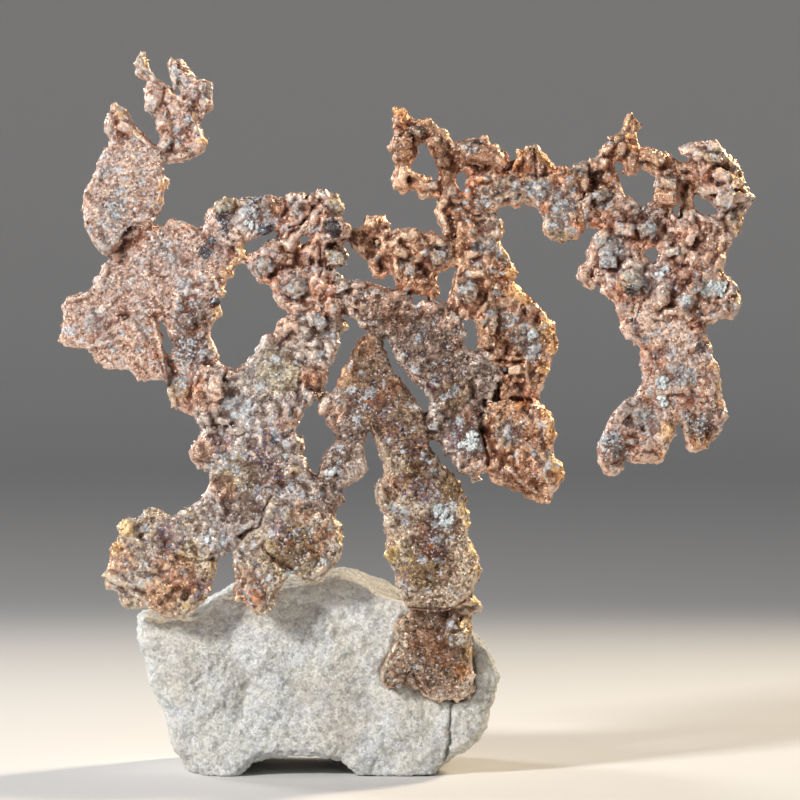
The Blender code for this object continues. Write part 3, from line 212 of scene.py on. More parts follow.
# %% Habits
HABITS = {
    "sugary": {"lumps": 0.35, "branches": ("left_plate", "upper_leaf", "left_leg", "foot_strand", "tail")},
    "lumpy": {
        "lumps": 0.75,
        "branches": (
            "trunk", "left_foot", "hanging_lobe", "diagonal", "strand", "lower_right_lobe", "bridge",
            "tail_spur", "crossbar",
        ),
    },
    "crystalline": {
        "lumps": 1.0,
        "branches": (
            "top_cluster", "middle_bridge", "horns", "right_mass", "shoulder", "right_plate",
            "crystal_chain",
        ),
    },
    "spindly": {"lumps": 0.5, "branches": ("spray", "stem", "spire")},
}
habit_of = {branch: habit for habit, facts in HABITS.items() for branch in facts["branches"]}
branches = sorted(branch_slots)
print("habits:", {habit: len(facts["branches"]) for habit, facts in HABITS.items()})

# %% Fused skin
SKIN_SWELL = 0.16 * MM
SKIN_VOXEL = 0.2 * MM
SKIN_SOFTENING = 4
SOFTENING_FACTOR = 0.5


def displace(piece, texture, height, group=""):
    """Push a skin out or in by a texture, or evenly outwards without one."""
    modifier = piece.modifiers.new(texture.name if texture else "swell", "DISPLACE")
    modifier.texture = texture
    modifier.texture_coords = "LOCAL"
    modifier.strength = height
    modifier.mid_level = 0.5 if texture else 0.0
    modifier.vertex_group = group


def even_skin(piece, swell, voxel, softening):
    """Swell a piece, give it small even faces and soften its facets."""
    displace(piece, None, swell)
    remesh = piece.modifiers.new("even faces", "REMESH")
    remesh.mode = "VOXEL"
    remesh.voxel_size = voxel
    smooth = piece.modifiers.new("soften", "SMOOTH")
    smooth.factor = SOFTENING_FACTOR
    smooth.iterations = softening
    settle(piece)


copper = node_copy(branches, "copper_skin")

# %% Windows between the branches
COPPER_WINDOWS = [
    [(26.0, 76.4), (27.1, 77.2), (27.3, 75.4), (28.6, 75.1), (29.5, 76.1), (30.6, 75.8), (31.5, 75.4),
     (31.5, 73.5), (31.1, 71.9), (30.1, 71.0), (29.0, 72.2), (27.3, 72.5), (26.3, 75.1)],
    [(33.6, 72.6), (34.7, 72.4), (35.0, 71.0), (34.3, 69.8), (33.3, 70.1), (33.2, 71.4)],
    [(35.7, 73.4), (36.7, 72.9), (38.0, 72.3), (39.1, 71.4), (39.7, 70.5), (38.1, 70.1), (36.6, 70.5),
     (35.8, 71.2)],
    [(29.4, 65.9), (30.8, 66.6), (31.8, 66.0), (31.6, 64.6), (30.9, 64.1), (29.8, 65.0)],
    [(1.5, 79.7), (2.5, 78.8), (3.0, 77.8), (3.6, 76.8), (3.7, 75.7), (4.1, 74.7), (3.3, 74.7),
     (2.3, 75.3), (1.0, 75.7), (1.3, 77.7), (1.0, 78.8)],
    [(6.1, 76.0), (6.6, 75.8), (7.5, 74.7), (7.6, 73.5), (7.0, 72.5), (6.5, 73.2), (6.1, 74.7)],
    [(3.9, 63.0), (5.2, 63.8), (6.7, 64.3), (6.7, 63.7), (5.9, 62.9), (5.5, 60.4), (5.8, 59.6),
     (4.4, 60.2), (4.0, 61.5)],
    [(6.4, 58.5), (7.1, 57.5), (8.4, 56.8), (9.0, 55.5), (9.0, 54.0), (8.3, 53.8), (7.5, 54.4),
     (6.9, 56.0)],
    [(-9.4, 63.4), (-8.0, 63.6), (-7.4, 64.8), (-8.0, 66.4), (-7.5, 66.9), (-6.5, 66.1), (-5.5, 65.1),
     (-4.7, 63.8), (-4.2, 62.8), (-2.7, 62.6), (-1.7, 62.4), (-1.2, 61.4), (0.8, 60.8), (3.5, 59.9),
     (3.3, 59.3), (2.1, 59.6), (0.5, 60.2), (-1.2, 60.8), (-2.9, 61.4), (-4.5, 61.6), (-5.2, 62.2),
     (-7.5, 62.0)],
    [(-20.4, 66.8), (-16.4, 68.3), (-16.0, 68.3), (-16.1, 67.7), (-17.7, 66.6), (-19.1, 66.0),
     (-19.3, 65.2), (-19.8, 65.6)],
    [(-14.0, 67.4), (-13.4, 67.6), (-12.2, 67.8), (-11.2, 67.3), (-12.0, 66.9), (-12.9, 66.4),
     (-13.7, 66.6)],
    [(-10.0, 65.4), (-9.4, 66.4), (-9.2, 66.9), (-8.7, 66.8), (-9.4, 65.4), (-9.9, 64.8)],
    [(-19.5, 61.0), (-18.6, 61.9), (-16.8, 61.7), (-16.6, 59.6), (-14.5, 58.0), (-15.8, 57.4),
     (-17.5, 58.5)],
    [(-2.7, 55.1), (-2.2, 54.8), (-1.9, 53.4), (-0.9, 51.8), (0.5, 50.4), (2.5, 48.4), (3.0, 47.1),
     (2.6, 45.4), (2.1, 45.4), (1.1, 47.1), (-0.2, 49.1), (-1.2, 50.8), (-1.9, 52.1), (-2.3, 53.4)],
    [(-31.2, 57.4), (-30.4, 57.3), (-29.8, 55.4), (-29.3, 53.8), (-30.0, 52.9), (-30.6, 54.6)],
]
WINDOW_REACH = (-30.0, 30.0)


def window_cutter(windows):
    """Upright prisms through the whole depth, one for each window."""
    body = bmesh.new()
    for outline in windows:
        near = [body.verts.new((x * MM, WINDOW_REACH[0] * MM, z * MM)) for x, z in outline]
        far = [body.verts.new((x * MM, WINDOW_REACH[1] * MM, z * MM)) for x, z in outline]
        body.faces.new(near)
        body.faces.new(far[::-1])
        for side in range(len(outline)):
            after = (side + 1) % len(outline)
            body.faces.new((near[after], near[side], far[side], far[after]))
    bmesh.ops.recalc_face_normals(body, faces=body.faces)
    return body_object("window_cutter", body)


def open_windows(piece, windows):
    """Cut the windows out of a piece."""
    cutter = window_cutter(windows)
    modifier = piece.modifiers.new("windows", "BOOLEAN")
    modifier.operation = "DIFFERENCE"
    modifier.solver = "EXACT"
    modifier.object = cutter
    settle(piece)
    bpy.data.objects.remove(cutter)


open_windows(copper, COPPER_WINDOWS)
even_skin(copper, SKIN_SWELL, SKIN_VOXEL, SKIN_SOFTENING)
print("windows:", len(COPPER_WINDOWS), "faces in the fused skin:", len(copper.data.polygons))

# %% Nearest branch


def branch_tree():
    """A search tree over all packed branches, and the branch of each of its faces."""
    corners = []
    faces = []
    owners = []
    for index, branch in enumerate(branches):
        mesh = frame["nodes"][branch].data
        start = len(corners)
        corners.extend(vertex.co for vertex in mesh.vertices)
        faces.extend([start + corner for corner in polygon.vertices] for polygon in mesh.polygons)
        owners.extend([index] * len(mesh.polygons))
    return BVHTree.FromPolygons(corners, faces), np.array(owners)


BRANCH_TREE, FACE_BRANCH = branch_tree()


def nearest_branches(places):
    """For each place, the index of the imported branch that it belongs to."""
    return FACE_BRANCH[[BRANCH_TREE.find_nearest(place)[2] for place in places]]


smooth_skin = search_tree(copper)
SHEET_DEPTH = float(np.median(read_vectors(copper.data.vertices, "co")[:, 1]))
print("middle of the copper sheet in mm:", round(SHEET_DEPTH / MM, 1))

# %% Rims
RIM_EVENING = 26
RIM_START, RIM_FULL = 0.86, 0.5


def rim_share(piece):
    """How much each point belongs to a rim, from how far the skin has turned from the view."""
    normals = read_vectors(piece.data.vertex_normals, "vector")
    broad = evened(np.abs(normals[:, 1]), edges_of(piece), RIM_EVENING)
    return 1 - smooth_step(broad, RIM_FULL, RIM_START)


smooth_rim = rim_share(copper)
smooth_corner = first_corners(copper)
print("share of the skin that is rim:", round(float((smooth_rim > 0.5).mean()), 2))

# %% [markdown]
# ## The large crystals
# The crystals that the eye finds first, one to seven millimetres long, are not random. Each was read off
# the front view: its form, its place, its length and width, its turn, and its tone. Plain, brown, dark and
# grey are tones of the metal, while the bright and the golden tones are painted highlights, white and warm
# gold, on crystals that catch the light. A ray from the front finds the skin there, and the crystal is
# sunk about halfway into it, so that it sits on what carries it from any side. The back, which no picture
# shows, gets the same growth with other turns, as a sheet that grew freely would have. Each row below is a
# form, its place across and up, its length and width in millimetres, its turn in degrees, and its tone
# where it is not plain.

# %% Forms and tones
SPINDLE, SLAB, BLOCK, BEAD = "spindle", "slab", "block", "bead"
# The bright and the golden tones are painted highlights: the lightest metal, and a warm gold tint, on
# crystals that catch the light.
HIGHLIGHT, GOLD_HIGHLIGHT, PLAIN, BROWN, DARK, GREY = "bright", "gold", "plain", "brown", "dark", "grey"
THICKNESS = {SPINDLE: 0.8, SLAB: 0.6, BLOCK: 0.85, BEAD: 0.8}
# The parts of a tone: its own lightness, its share of painted warm highlight, and its share of grey
# patina.
TONE_PARTS = ("tint", "gilt", "patina")
TONES = {
    HIGHLIGHT: (1.0, 0.1, 0.0),
    GOLD_HIGHLIGHT: (0.85, 0.7, 0.0),
    PLAIN: (0.62, 0.0, 0.1),
    BROWN: (0.36, 0.0, 0.0),
    DARK: (0.3, 0.0, 0.6),
    GREY: (0.5, 0.0, 0.9),
}
print("forms:", len(THICKNESS), "tones:", len(TONES))

# %% Large crystals of the right half
LARGE_RIGHT = [
    (SPINDLE, -1.5, 83.4, 1.9, 0.7, 110, GOLD_HIGHLIGHT), (BLOCK, -0.5, 83.2, 1.1, 0.8, -30, GOLD_HIGHLIGHT),
    (BLOCK, -1.4, 82.3, 1.0, 0.8, 20, HIGHLIGHT), (SLAB, -0.4, 82.1, 1.5, 1.1, 60, GOLD_HIGHLIGHT),
    (BEAD, 2.5, 82.2, 2.0, 1.4, -15, GOLD_HIGHLIGHT), (SLAB, 1.0, 82.3, 1.6, 0.5, -10, GOLD_HIGHLIGHT),
    (BLOCK, 1.2, 80.8, 1.9, 1.2, -25, GREY), (SPINDLE, -1.3, 78.8, 5.2, 1.6, 86, DARK),
    (SLAB, -0.1, 78.6, 5.0, 2.0, 92), (BLOCK, -0.5, 75.9, 1.6, 1.2, 80, HIGHLIGHT),
    (BLOCK, -0.9, 74.3, 1.9, 1.6, 10), (BLOCK, 0.9, 75.3, 1.4, 0.8, -20), (SLAB, 2.0, 74.2, 2.2, 1.4, -40),
    (BLOCK, 3.2, 74.1, 1.6, 1.3, 10, GREY), (SLAB, 4.4, 80.7, 1.8, 1.0, -35, GOLD_HIGHLIGHT),
    (BLOCK, 3.3, 79.6, 1.9, 1.4, 15), (SPINDLE, 5.3, 79.7, 2.2, 0.7, -50, GOLD_HIGHLIGHT),
    (SLAB, 4.0, 78.4, 2.1, 1.5, -50), (BLOCK, 4.5, 77.0, 1.7, 1.2, 10), (SLAB, 4.9, 75.2, 2.4, 1.5, 85),
    (SLAB, 5.6, 73.4, 2.2, 1.4, 75, GREY), (SPINDLE, 6.3, 72.1, 1.9, 0.9, -25, HIGHLIGHT),
    (BLOCK, 4.5, 71.8, 1.6, 1.1, 40, HIGHLIGHT), (SPINDLE, 4.6, 69.6, 4.0, 1.4, -66, HIGHLIGHT),
    (SLAB, 7.4, 72.6, 3.2, 1.3, 80, BROWN), (BLOCK, 6.4, 70.6, 1.8, 1.5, 30, BROWN),
    (BLOCK, 7.5, 70.2, 1.7, 1.2, -20), (SLAB, 9.5, 77.9, 7.4, 2.8, -18),
    (SPINDLE, 7.6, 77.1, 4.4, 1.2, -24), (SPINDLE, 10.3, 75.6, 2.7, 0.9, -17, HIGHLIGHT),
    (BLOCK, 9.2, 74.9, 1.8, 1.0, 0), (SPINDLE, 14.0, 77.2, 3.8, 1.2, 50, GOLD_HIGHLIGHT),
    (SPINDLE, 15.2, 77.2, 4.0, 1.6, 75), (SPINDLE, 16.9, 77.3, 4.2, 1.5, -56, GOLD_HIGHLIGHT),
    (SLAB, 16.4, 76.6, 4.2, 1.6, 93), (BEAD, 13.1, 73.0, 1.8, 1.5, 0),
    (BEAD, 11.6, 72.4, 1.5, 1.2, 0, GREY), (BEAD, 10.9, 69.8, 1.9, 1.3, -35, DARK),
    (BEAD, 17.4, 71.2, 1.7, 1.0, 90, BROWN), (BEAD, 21.4, 68.7, 1.6, 0.9, 60, BROWN),
    (BEAD, 11.0, 67.9, 1.5, 1.1, -20), (SLAB, 6.4, 68.6, 2.6, 0.7, 80, HIGHLIGHT),
    (BLOCK, 21.8, 76.3, 1.6, 1.3, 20, GREY), (BLOCK, 21.2, 76.5, 0.8, 0.8, 0, HIGHLIGHT),
    (SLAB, 23.4, 76.4, 2.2, 1.1, 80), (BLOCK, 24.4, 76.7, 1.8, 1.4, 70, GREY),
    (SLAB, 22.3, 74.4, 2.2, 1.1, 85), (SLAB, 25.1, 78.7, 2.6, 1.3, 50),
    (SLAB, 26.8, 78.6, 2.4, 1.5, 80, BROWN), (BEAD, 26.6, 80.1, 1.5, 1.4, 0, DARK),
    (BEAD, 28.0, 82.9, 1.4, 1.2, 0, GREY), (SLAB, 27.6, 81.8, 1.6, 0.9, 70, HIGHLIGHT),
    (SLAB, 28.4, 81.6, 1.6, 0.7, 100, HIGHLIGHT), (BLOCK, 28.2, 80.4, 1.2, 1.0, 0, GOLD_HIGHLIGHT),
    (SLAB, 29.3, 81.5, 1.3, 0.8, 100, GOLD_HIGHLIGHT), (SPINDLE, 28.1, 78.9, 2.6, 0.8, -58, GOLD_HIGHLIGHT),
    (BEAD, 28.1, 76.8, 3.0, 1.7, 88), (SLAB, 25.3, 75.0, 2.6, 1.1, -55), (SLAB, 26.2, 74.2, 2.8, 1.1, -55),
    (BLOCK, 29.7, 77.8, 1.6, 1.2, 80), (SLAB, 31.1, 77.5, 3.6, 2.0, -25),
    (SLAB, 33.0, 77.3, 3.4, 0.9, -35, BROWN), (BLOCK, 34.7, 76.2, 1.6, 1.1, 20, HIGHLIGHT),
    (BLOCK, 32.6, 74.5, 2.6, 1.9, -5, GREY), (BLOCK, 32.7, 72.4, 2.6, 2.1, 0, BROWN),
    (SLAB, 35.2, 71.8, 5.2, 1.2, 82), (SLAB, 36.8, 73.3, 2.8, 1.0, -55, GREY),
    (BLOCK, 35.3, 78.6, 1.8, 1.4, 20), (BEAD, 37.0, 79.1, 1.4, 1.0, 10, DARK),
    (BLOCK, 38.3, 79.0, 1.9, 1.3, 10, GOLD_HIGHLIGHT), (BEAD, 38.1, 77.5, 3.2, 1.6, -18, DARK),
    (BLOCK, 36.9, 78.1, 0.9, 0.8, 0, HIGHLIGHT), (BEAD, 40.0, 77.6, 1.2, 0.9, -45, GOLD_HIGHLIGHT),
    (BEAD, 40.8, 76.7, 1.2, 0.9, -50, GOLD_HIGHLIGHT), (BEAD, 41.3, 75.7, 1.1, 0.9, -70, GOLD_HIGHLIGHT),
    (BLOCK, 39.4, 75.3, 2.2, 1.7, -30, HIGHLIGHT), (SLAB, 41.4, 74.4, 1.9, 1.3, 85, GOLD_HIGHLIGHT),
    (BLOCK, 37.9, 73.6, 2.0, 1.7, 10), (BLOCK, 39.8, 73.6, 1.9, 1.5, 20, HIGHLIGHT),
    (BLOCK, 39.6, 72.2, 2.4, 2.0, -20, HIGHLIGHT), (SPINDLE, 43.0, 72.7, 2.0, 0.9, -20, GREY),
    (BLOCK, 41.7, 72.5, 1.6, 1.3, 0), (BEAD, 41.9, 70.6, 1.1, 0.7, 85, GOLD_HIGHLIGHT),
    (BEAD, 41.9, 69.4, 1.1, 0.7, 80, GOLD_HIGHLIGHT), (BEAD, 41.3, 68.3, 1.1, 0.8, 55, GOLD_HIGHLIGHT),
    (BEAD, 40.5, 67.5, 1.0, 0.7, 30, GOLD_HIGHLIGHT), (BEAD, 40.4, 70.3, 1.8, 1.1, 30, DARK),
    (SPINDLE, 28.2, 71.9, 3.2, 0.9, -22, DARK), (BEAD, 27.6, 71.4, 0.8, 0.7, 0, HIGHLIGHT),
    (BEAD, 28.5, 70.8, 0.8, 0.6, -40, HIGHLIGHT), (BEAD, 30.4, 70.9, 1.2, 0.9, 0, HIGHLIGHT),
    (SLAB, 22.6, 72.2, 2.8, 1.0, 65, HIGHLIGHT), (BLOCK, 24.3, 72.8, 2.2, 1.6, 20, GREY),
    (SPINDLE, 33.9, 68.6, 1.7, 0.7, -30, HIGHLIGHT), (BLOCK, 35.4, 67.6, 1.8, 1.2, 70, HIGHLIGHT),
    (BLOCK, 33.1, 65.9, 1.6, 1.3, 10, GREY), (BEAD, 37.6, 65.3, 1.9, 1.6, 30, HIGHLIGHT),
    (BEAD, 31.6, 66.7, 1.6, 1.0, 30, BROWN), (SPINDLE, 32.5, 67.8, 1.1, 0.4, 45, GOLD_HIGHLIGHT),
    (BLOCK, 37.5, 69.9, 1.6, 0.9, 0, HIGHLIGHT), (SLAB, 36.2, 68.2, 2.2, 1.2, -50),
    (BLOCK, 24.2, 67.6, 2.0, 1.6, 40, HIGHLIGHT), (BLOCK, 27.0, 68.6, 2.2, 1.8, 0),
    (BLOCK, 30.0, 68.6, 2.4, 1.8, 30, GREY), (BLOCK, 25.0, 64.6, 2.0, 1.6, 0, GREY),
    (BLOCK, 28.4, 64.0, 2.2, 1.4, -20, HIGHLIGHT), (SLAB, 35.6, 64.9, 2.4, 1.6, 60),
    (BLOCK, 39.2, 64.4, 1.6, 1.3, 80, GOLD_HIGHLIGHT), (SLAB, 39.3, 66.2, 2.0, 0.8, 70, GOLD_HIGHLIGHT),
    (SLAB, 39.1, 62.7, 1.6, 0.6, -70, GOLD_HIGHLIGHT),
]

# %% Large crystals of the shoulder, the tail and the strand
LARGE_LOWER_RIGHT = [
    (BEAD, 22.1, 62.9, 2.2, 1.7, 80), (BEAD, 21.6, 62.6, 0.8, 0.6, 80, HIGHLIGHT),
    (BEAD, 27.8, 62.3, 3.8, 3.4, 0), (BEAD, 27.1, 63.0, 1.3, 0.9, 20, HIGHLIGHT),
    (SLAB, 25.3, 61.4, 2.6, 1.2, 65), (BEAD, 26.9, 58.7, 1.9, 1.6, 0),
    (BLOCK, 27.8, 58.8, 0.7, 0.6, 0, HIGHLIGHT), (BEAD, 27.6, 56.1, 2.0, 1.6, 30),
    (SLAB, 28.8, 54.7, 2.4, 1.0, -32, BROWN), (SLAB, 30.0, 52.4, 2.0, 0.9, 60, BROWN),
    (SLAB, 31.7, 60.2, 4.0, 2.0, 80, HIGHLIGHT), (BLOCK, 33.8, 58.4, 1.8, 1.1, 10, HIGHLIGHT),
    (BLOCK, 36.0, 61.2, 2.2, 1.6, 40, BROWN), (SLAB, 38.7, 57.8, 3.4, 1.0, 14, BROWN),
    (BLOCK, 40.9, 61.2, 1.4, 1.1, 80, DARK), (SLAB, 37.7, 55.2, 2.2, 0.6, -56, GOLD_HIGHLIGHT),
    (SLAB, 38.6, 51.4, 2.4, 1.1, -62, HIGHLIGHT), (SLAB, 39.1, 48.2, 4.4, 0.6, -84, GOLD_HIGHLIGHT),
    (SLAB, 32.5, 43.4, 2.4, 1.5, 72, GOLD_HIGHLIGHT), (BLOCK, 31.6, 42.4, 1.3, 0.9, -40, HIGHLIGHT),
    (BEAD, 32.2, 40.6, 1.3, 0.8, 75, GOLD_HIGHLIGHT), (SLAB, 30.0, 40.1, 3.4, 1.3, 0, BROWN),
    (BEAD, 36.6, 42.6, 2.8, 2.2, 80, DARK), (BLOCK, 37.4, 42.1, 0.9, 0.6, 30, GOLD_HIGHLIGHT),
    (SLAB, 34.2, 47.2, 2.4, 0.6, -4), (BLOCK, 34.9, 48.4, 1.2, 0.8, -60, HIGHLIGHT),
    (SLAB, 34.8, 53.4, 1.3, 0.4, 88, HIGHLIGHT), (BEAD, 25.6, 40.4, 2.8, 2.2, 80, GREY),
    (BLOCK, 27.6, 42.2, 1.8, 1.0, -10), (BLOCK, 27.0, 45.6, 2.2, 1.5, 50),
    (SLAB, 11.7, 66.2, 2.4, 0.8, -56, GOLD_HIGHLIGHT), (BLOCK, 12.9, 63.1, 1.5, 1.2, -20, GOLD_HIGHLIGHT),
    (SLAB, 13.4, 61.0, 2.2, 1.2, -42, HIGHLIGHT), (BLOCK, 14.4, 60.1, 1.6, 1.1, -30, GOLD_HIGHLIGHT),
    (SLAB, 15.8, 58.9, 2.0, 1.2, -45), (SLAB, 17.4, 56.0, 3.4, 1.3, -66, GOLD_HIGHLIGHT),
    (SLAB, 18.1, 53.6, 2.8, 0.8, 86, GOLD_HIGHLIGHT), (BLOCK, 17.0, 51.1, 1.3, 0.9, -20, GOLD_HIGHLIGHT),
    (SLAB, 6.1, 60.4, 4.4, 0.9, 92), (BEAD, 7.9, 60.6, 3.0, 2.6, 90, GREY),
    (SLAB, 10.7, 57.6, 4.2, 1.4, 92), (SLAB, 9.9, 54.8, 1.9, 0.9, 100, HIGHLIGHT),
    (SLAB, 9.1, 54.4, 2.0, 0.7, 85, BROWN), (BLOCK, 10.4, 52.8, 1.6, 1.0, -20, HIGHLIGHT),
    (SLAB, 13.0, 52.5, 2.8, 0.8, 0, BROWN), (BLOCK, 13.5, 51.0, 1.7, 1.3, 10, HIGHLIGHT),
    (SLAB, 14.9, 50.9, 3.2, 0.6, 92, HIGHLIGHT), (BLOCK, 13.6, 53.6, 1.6, 1.2, 40),
    (BLOCK, 8.2, 65.6, 1.8, 1.3, 20, HIGHLIGHT), (BLOCK, 8.6, 63.1, 1.8, 1.2, 0, HIGHLIGHT),
    (SLAB, 17.5, 43.6, 3.4, 1.3, 84, GOLD_HIGHLIGHT), (SLAB, 17.3, 45.7, 2.2, 0.7, -55, GOLD_HIGHLIGHT),
    (SLAB, 16.9, 40.4, 1.8, 1.0, -60, GOLD_HIGHLIGHT), (BLOCK, 18.2, 39.1, 2.0, 1.3, -25, HIGHLIGHT),
    (SLAB, 19.0, 37.8, 1.6, 0.8, 80, GOLD_HIGHLIGHT), (SLAB, 13.9, 46.7, 2.2, 0.8, 10, HIGHLIGHT),
    (SLAB, 9.8, 45.2, 2.4, 0.9, 84, HIGHLIGHT), (SLAB, 12.7, 41.6, 2.6, 0.7, 72),
    (SLAB, 14.7, 36.9, 4.8, 1.3, -37, BROWN), (SLAB, 12.9, 38.6, 2.2, 1.2, -60, BROWN),
    (BLOCK, 10.9, 39.6, 1.5, 1.2, 30), (SLAB, 8.3, 45.0, 2.8, 1.2, -70, DARK),
    (BEAD, 4.8, 41.8, 1.2, 1.0, 0, HIGHLIGHT), (BLOCK, 6.4, 39.4, 1.1, 0.7, 80, HIGHLIGHT),
    (BLOCK, 6.6, 38.5, 0.8, 0.6, 0, HIGHLIGHT), (BLOCK, 9.2, 39.6, 0.8, 0.6, 0, HIGHLIGHT),
    (SLAB, 8.7, 39.2, 2.2, 0.9, 12, BROWN), (BEAD, 3.5, 44.2, 2.4, 1.8, 85, GREY),
    (SLAB, 3.2, 45.8, 1.6, 0.5, 45, HIGHLIGHT), (BLOCK, 6.5, 53.2, 1.1, 0.9, 60),
    (SLAB, 8.5, 53.0, 2.4, 0.8, -15), (BEAD, 2.9, 58.9, 2.6, 1.6, -5, BROWN),
    (SLAB, -0.9, 52.6, 2.2, 0.7, -52), (SLAB, 1.6, 49.6, 2.0, 0.9, -45, BROWN),
]

# %% Large crystals of the top and the middle
LARGE_TOP = [
    (BEAD, -22.7, 71.4, 3.4, 2.4, 10, DARK), (BEAD, -20.1, 71.9, 2.2, 1.4, 10),
    (BEAD, -17.3, 72.3, 2.0, 1.2, -20), (BEAD, -16.0, 71.0, 2.4, 1.8, -70),
    (BEAD, -17.6, 68.4, 2.2, 0.8, 18, GREY), (BEAD, -21.2, 67.5, 1.8, 0.9, 10, BROWN),
    (SLAB, -14.6, 72.4, 1.8, 1.1, 80), (BLOCK, -13.2, 72.6, 1.2, 0.8, 90),
    (BLOCK, -12.1, 72.3, 1.2, 0.8, 60), (SPINDLE, -12.3, 70.7, 1.5, 0.7, 55, GOLD_HIGHLIGHT),
    (SLAB, -11.4, 69.8, 1.8, 0.7, 8, HIGHLIGHT), (SPINDLE, -13.1, 69.0, 1.7, 0.6, 55, HIGHLIGHT),
    (SLAB, -14.2, 69.1, 1.6, 0.5, 22), (SLAB, -13.8, 71.4, 2.2, 1.0, 48),
    (BEAD, -14.5, 70.1, 1.6, 1.0, 20, DARK), (BLOCK, -10.6, 72.9, 1.2, 0.9, 0, HIGHLIGHT),
    (SLAB, -9.7, 72.3, 2.4, 0.8, -52), (SLAB, -8.7, 71.7, 2.4, 1.1, -48, DARK),
    (SLAB, -8.2, 69.0, 2.0, 1.2, -70, BROWN), (BLOCK, -9.4, 67.6, 1.3, 0.9, 10, BROWN),
    (BEAD, -8.5, 66.9, 0.9, 0.8, 0, HIGHLIGHT), (BEAD, -16.4, 66.7, 1.4, 1.3, 0, HIGHLIGHT),
    (BLOCK, -14.5, 66.6, 1.5, 1.2, 40, HIGHLIGHT), (BLOCK, -15.4, 67.0, 0.9, 0.8, 0),
    (SLAB, -12.1, 66.4, 1.8, 0.9, 40, HIGHLIGHT), (SLAB, -11.2, 65.4, 2.4, 0.7, 85),
    (BEAD, -12.6, 64.9, 1.5, 1.4, 0), (BLOCK, -9.0, 65.0, 2.2, 1.9, -8, DARK),
    (SLAB, -9.4, 66.1, 1.4, 0.4, 10, HIGHLIGHT), (BLOCK, -9.3, 63.2, 1.0, 0.8, 30),
    (BEAD, -17.7, 64.0, 3.2, 2.9, 0), (BEAD, -14.0, 61.2, 3.6, 3.0, 20), (BEAD, -16.4, 61.6, 1.4, 1.1, 80),
    (SLAB, -13.8, 59.0, 3.0, 1.0, -10, BROWN), (SLAB, -11.0, 62.9, 2.0, 0.8, -70),
    (BLOCK, -8.4, 61.4, 2.0, 1.6, 20), (BLOCK, -6.0, 61.7, 1.6, 1.0, 0), (BEAD, -5.6, 59.0, 2.0, 1.7, 0),
    (BLOCK, -7.0, 58.2, 0.9, 0.7, 80, HIGHLIGHT), (BEAD, -3.6, 60.8, 1.9, 1.4, -20, DARK),
    (BEAD, -0.9, 60.4, 2.6, 1.6, 10), (BEAD, -1.0, 58.4, 1.8, 1.2, 0),
    (BLOCK, 0.9, 58.2, 1.2, 1.0, 0, BROWN), (BLOCK, -2.2, 55.9, 1.2, 0.8, 50, HIGHLIGHT),
    (BEAD, -4.0, 57.0, 1.6, 1.2, 0, DARK), (BEAD, -6.0, 67.6, 1.8, 1.3, 80),
    (BLOCK, -5.7, 66.2, 1.4, 1.0, 20, HIGHLIGHT), (SLAB, -4.3, 69.4, 1.9, 1.3, 60, HIGHLIGHT),
    (SLAB, -3.1, 69.1, 1.8, 0.7, 70), (SLAB, -3.0, 67.8, 2.2, 1.0, 65), (SLAB, -1.4, 68.7, 1.4, 0.9, 50),
    (BLOCK, -1.9, 66.9, 1.7, 1.1, 15, HIGHLIGHT), (BLOCK, -2.5, 65.8, 1.0, 0.8, 0),
    (BEAD, -4.2, 64.6, 1.6, 1.4, 60, GREY), (BEAD, -2.4, 64.0, 0.9, 0.8, 0),
    (BLOCK, -3.9, 62.9, 0.8, 0.6, 0, HIGHLIGHT), (SLAB, 0.3, 67.9, 3.2, 1.6, 6, HIGHLIGHT),
    (SLAB, 3.6, 67.2, 3.6, 1.2, -26, BROWN), (BLOCK, -0.8, 65.8, 1.8, 1.3, -20, BROWN),
    (BEAD, 3.8, 65.2, 3.0, 2.4, 20, GREY), (SLAB, -1.3, 63.6, 3.4, 0.9, -72),
    (SLAB, 1.1, 64.9, 2.2, 1.1, 0, BROWN), (SPINDLE, 3.6, 61.0, 1.6, 0.6, -78, GOLD_HIGHLIGHT),
    (SLAB, 3.2, 62.2, 1.6, 0.8, -70, GOLD_HIGHLIGHT), (BLOCK, 2.0, 62.2, 1.4, 1.0, 20, BROWN),
    (SLAB, 0.4, 61.3, 2.6, 0.6, -10, BROWN),
]

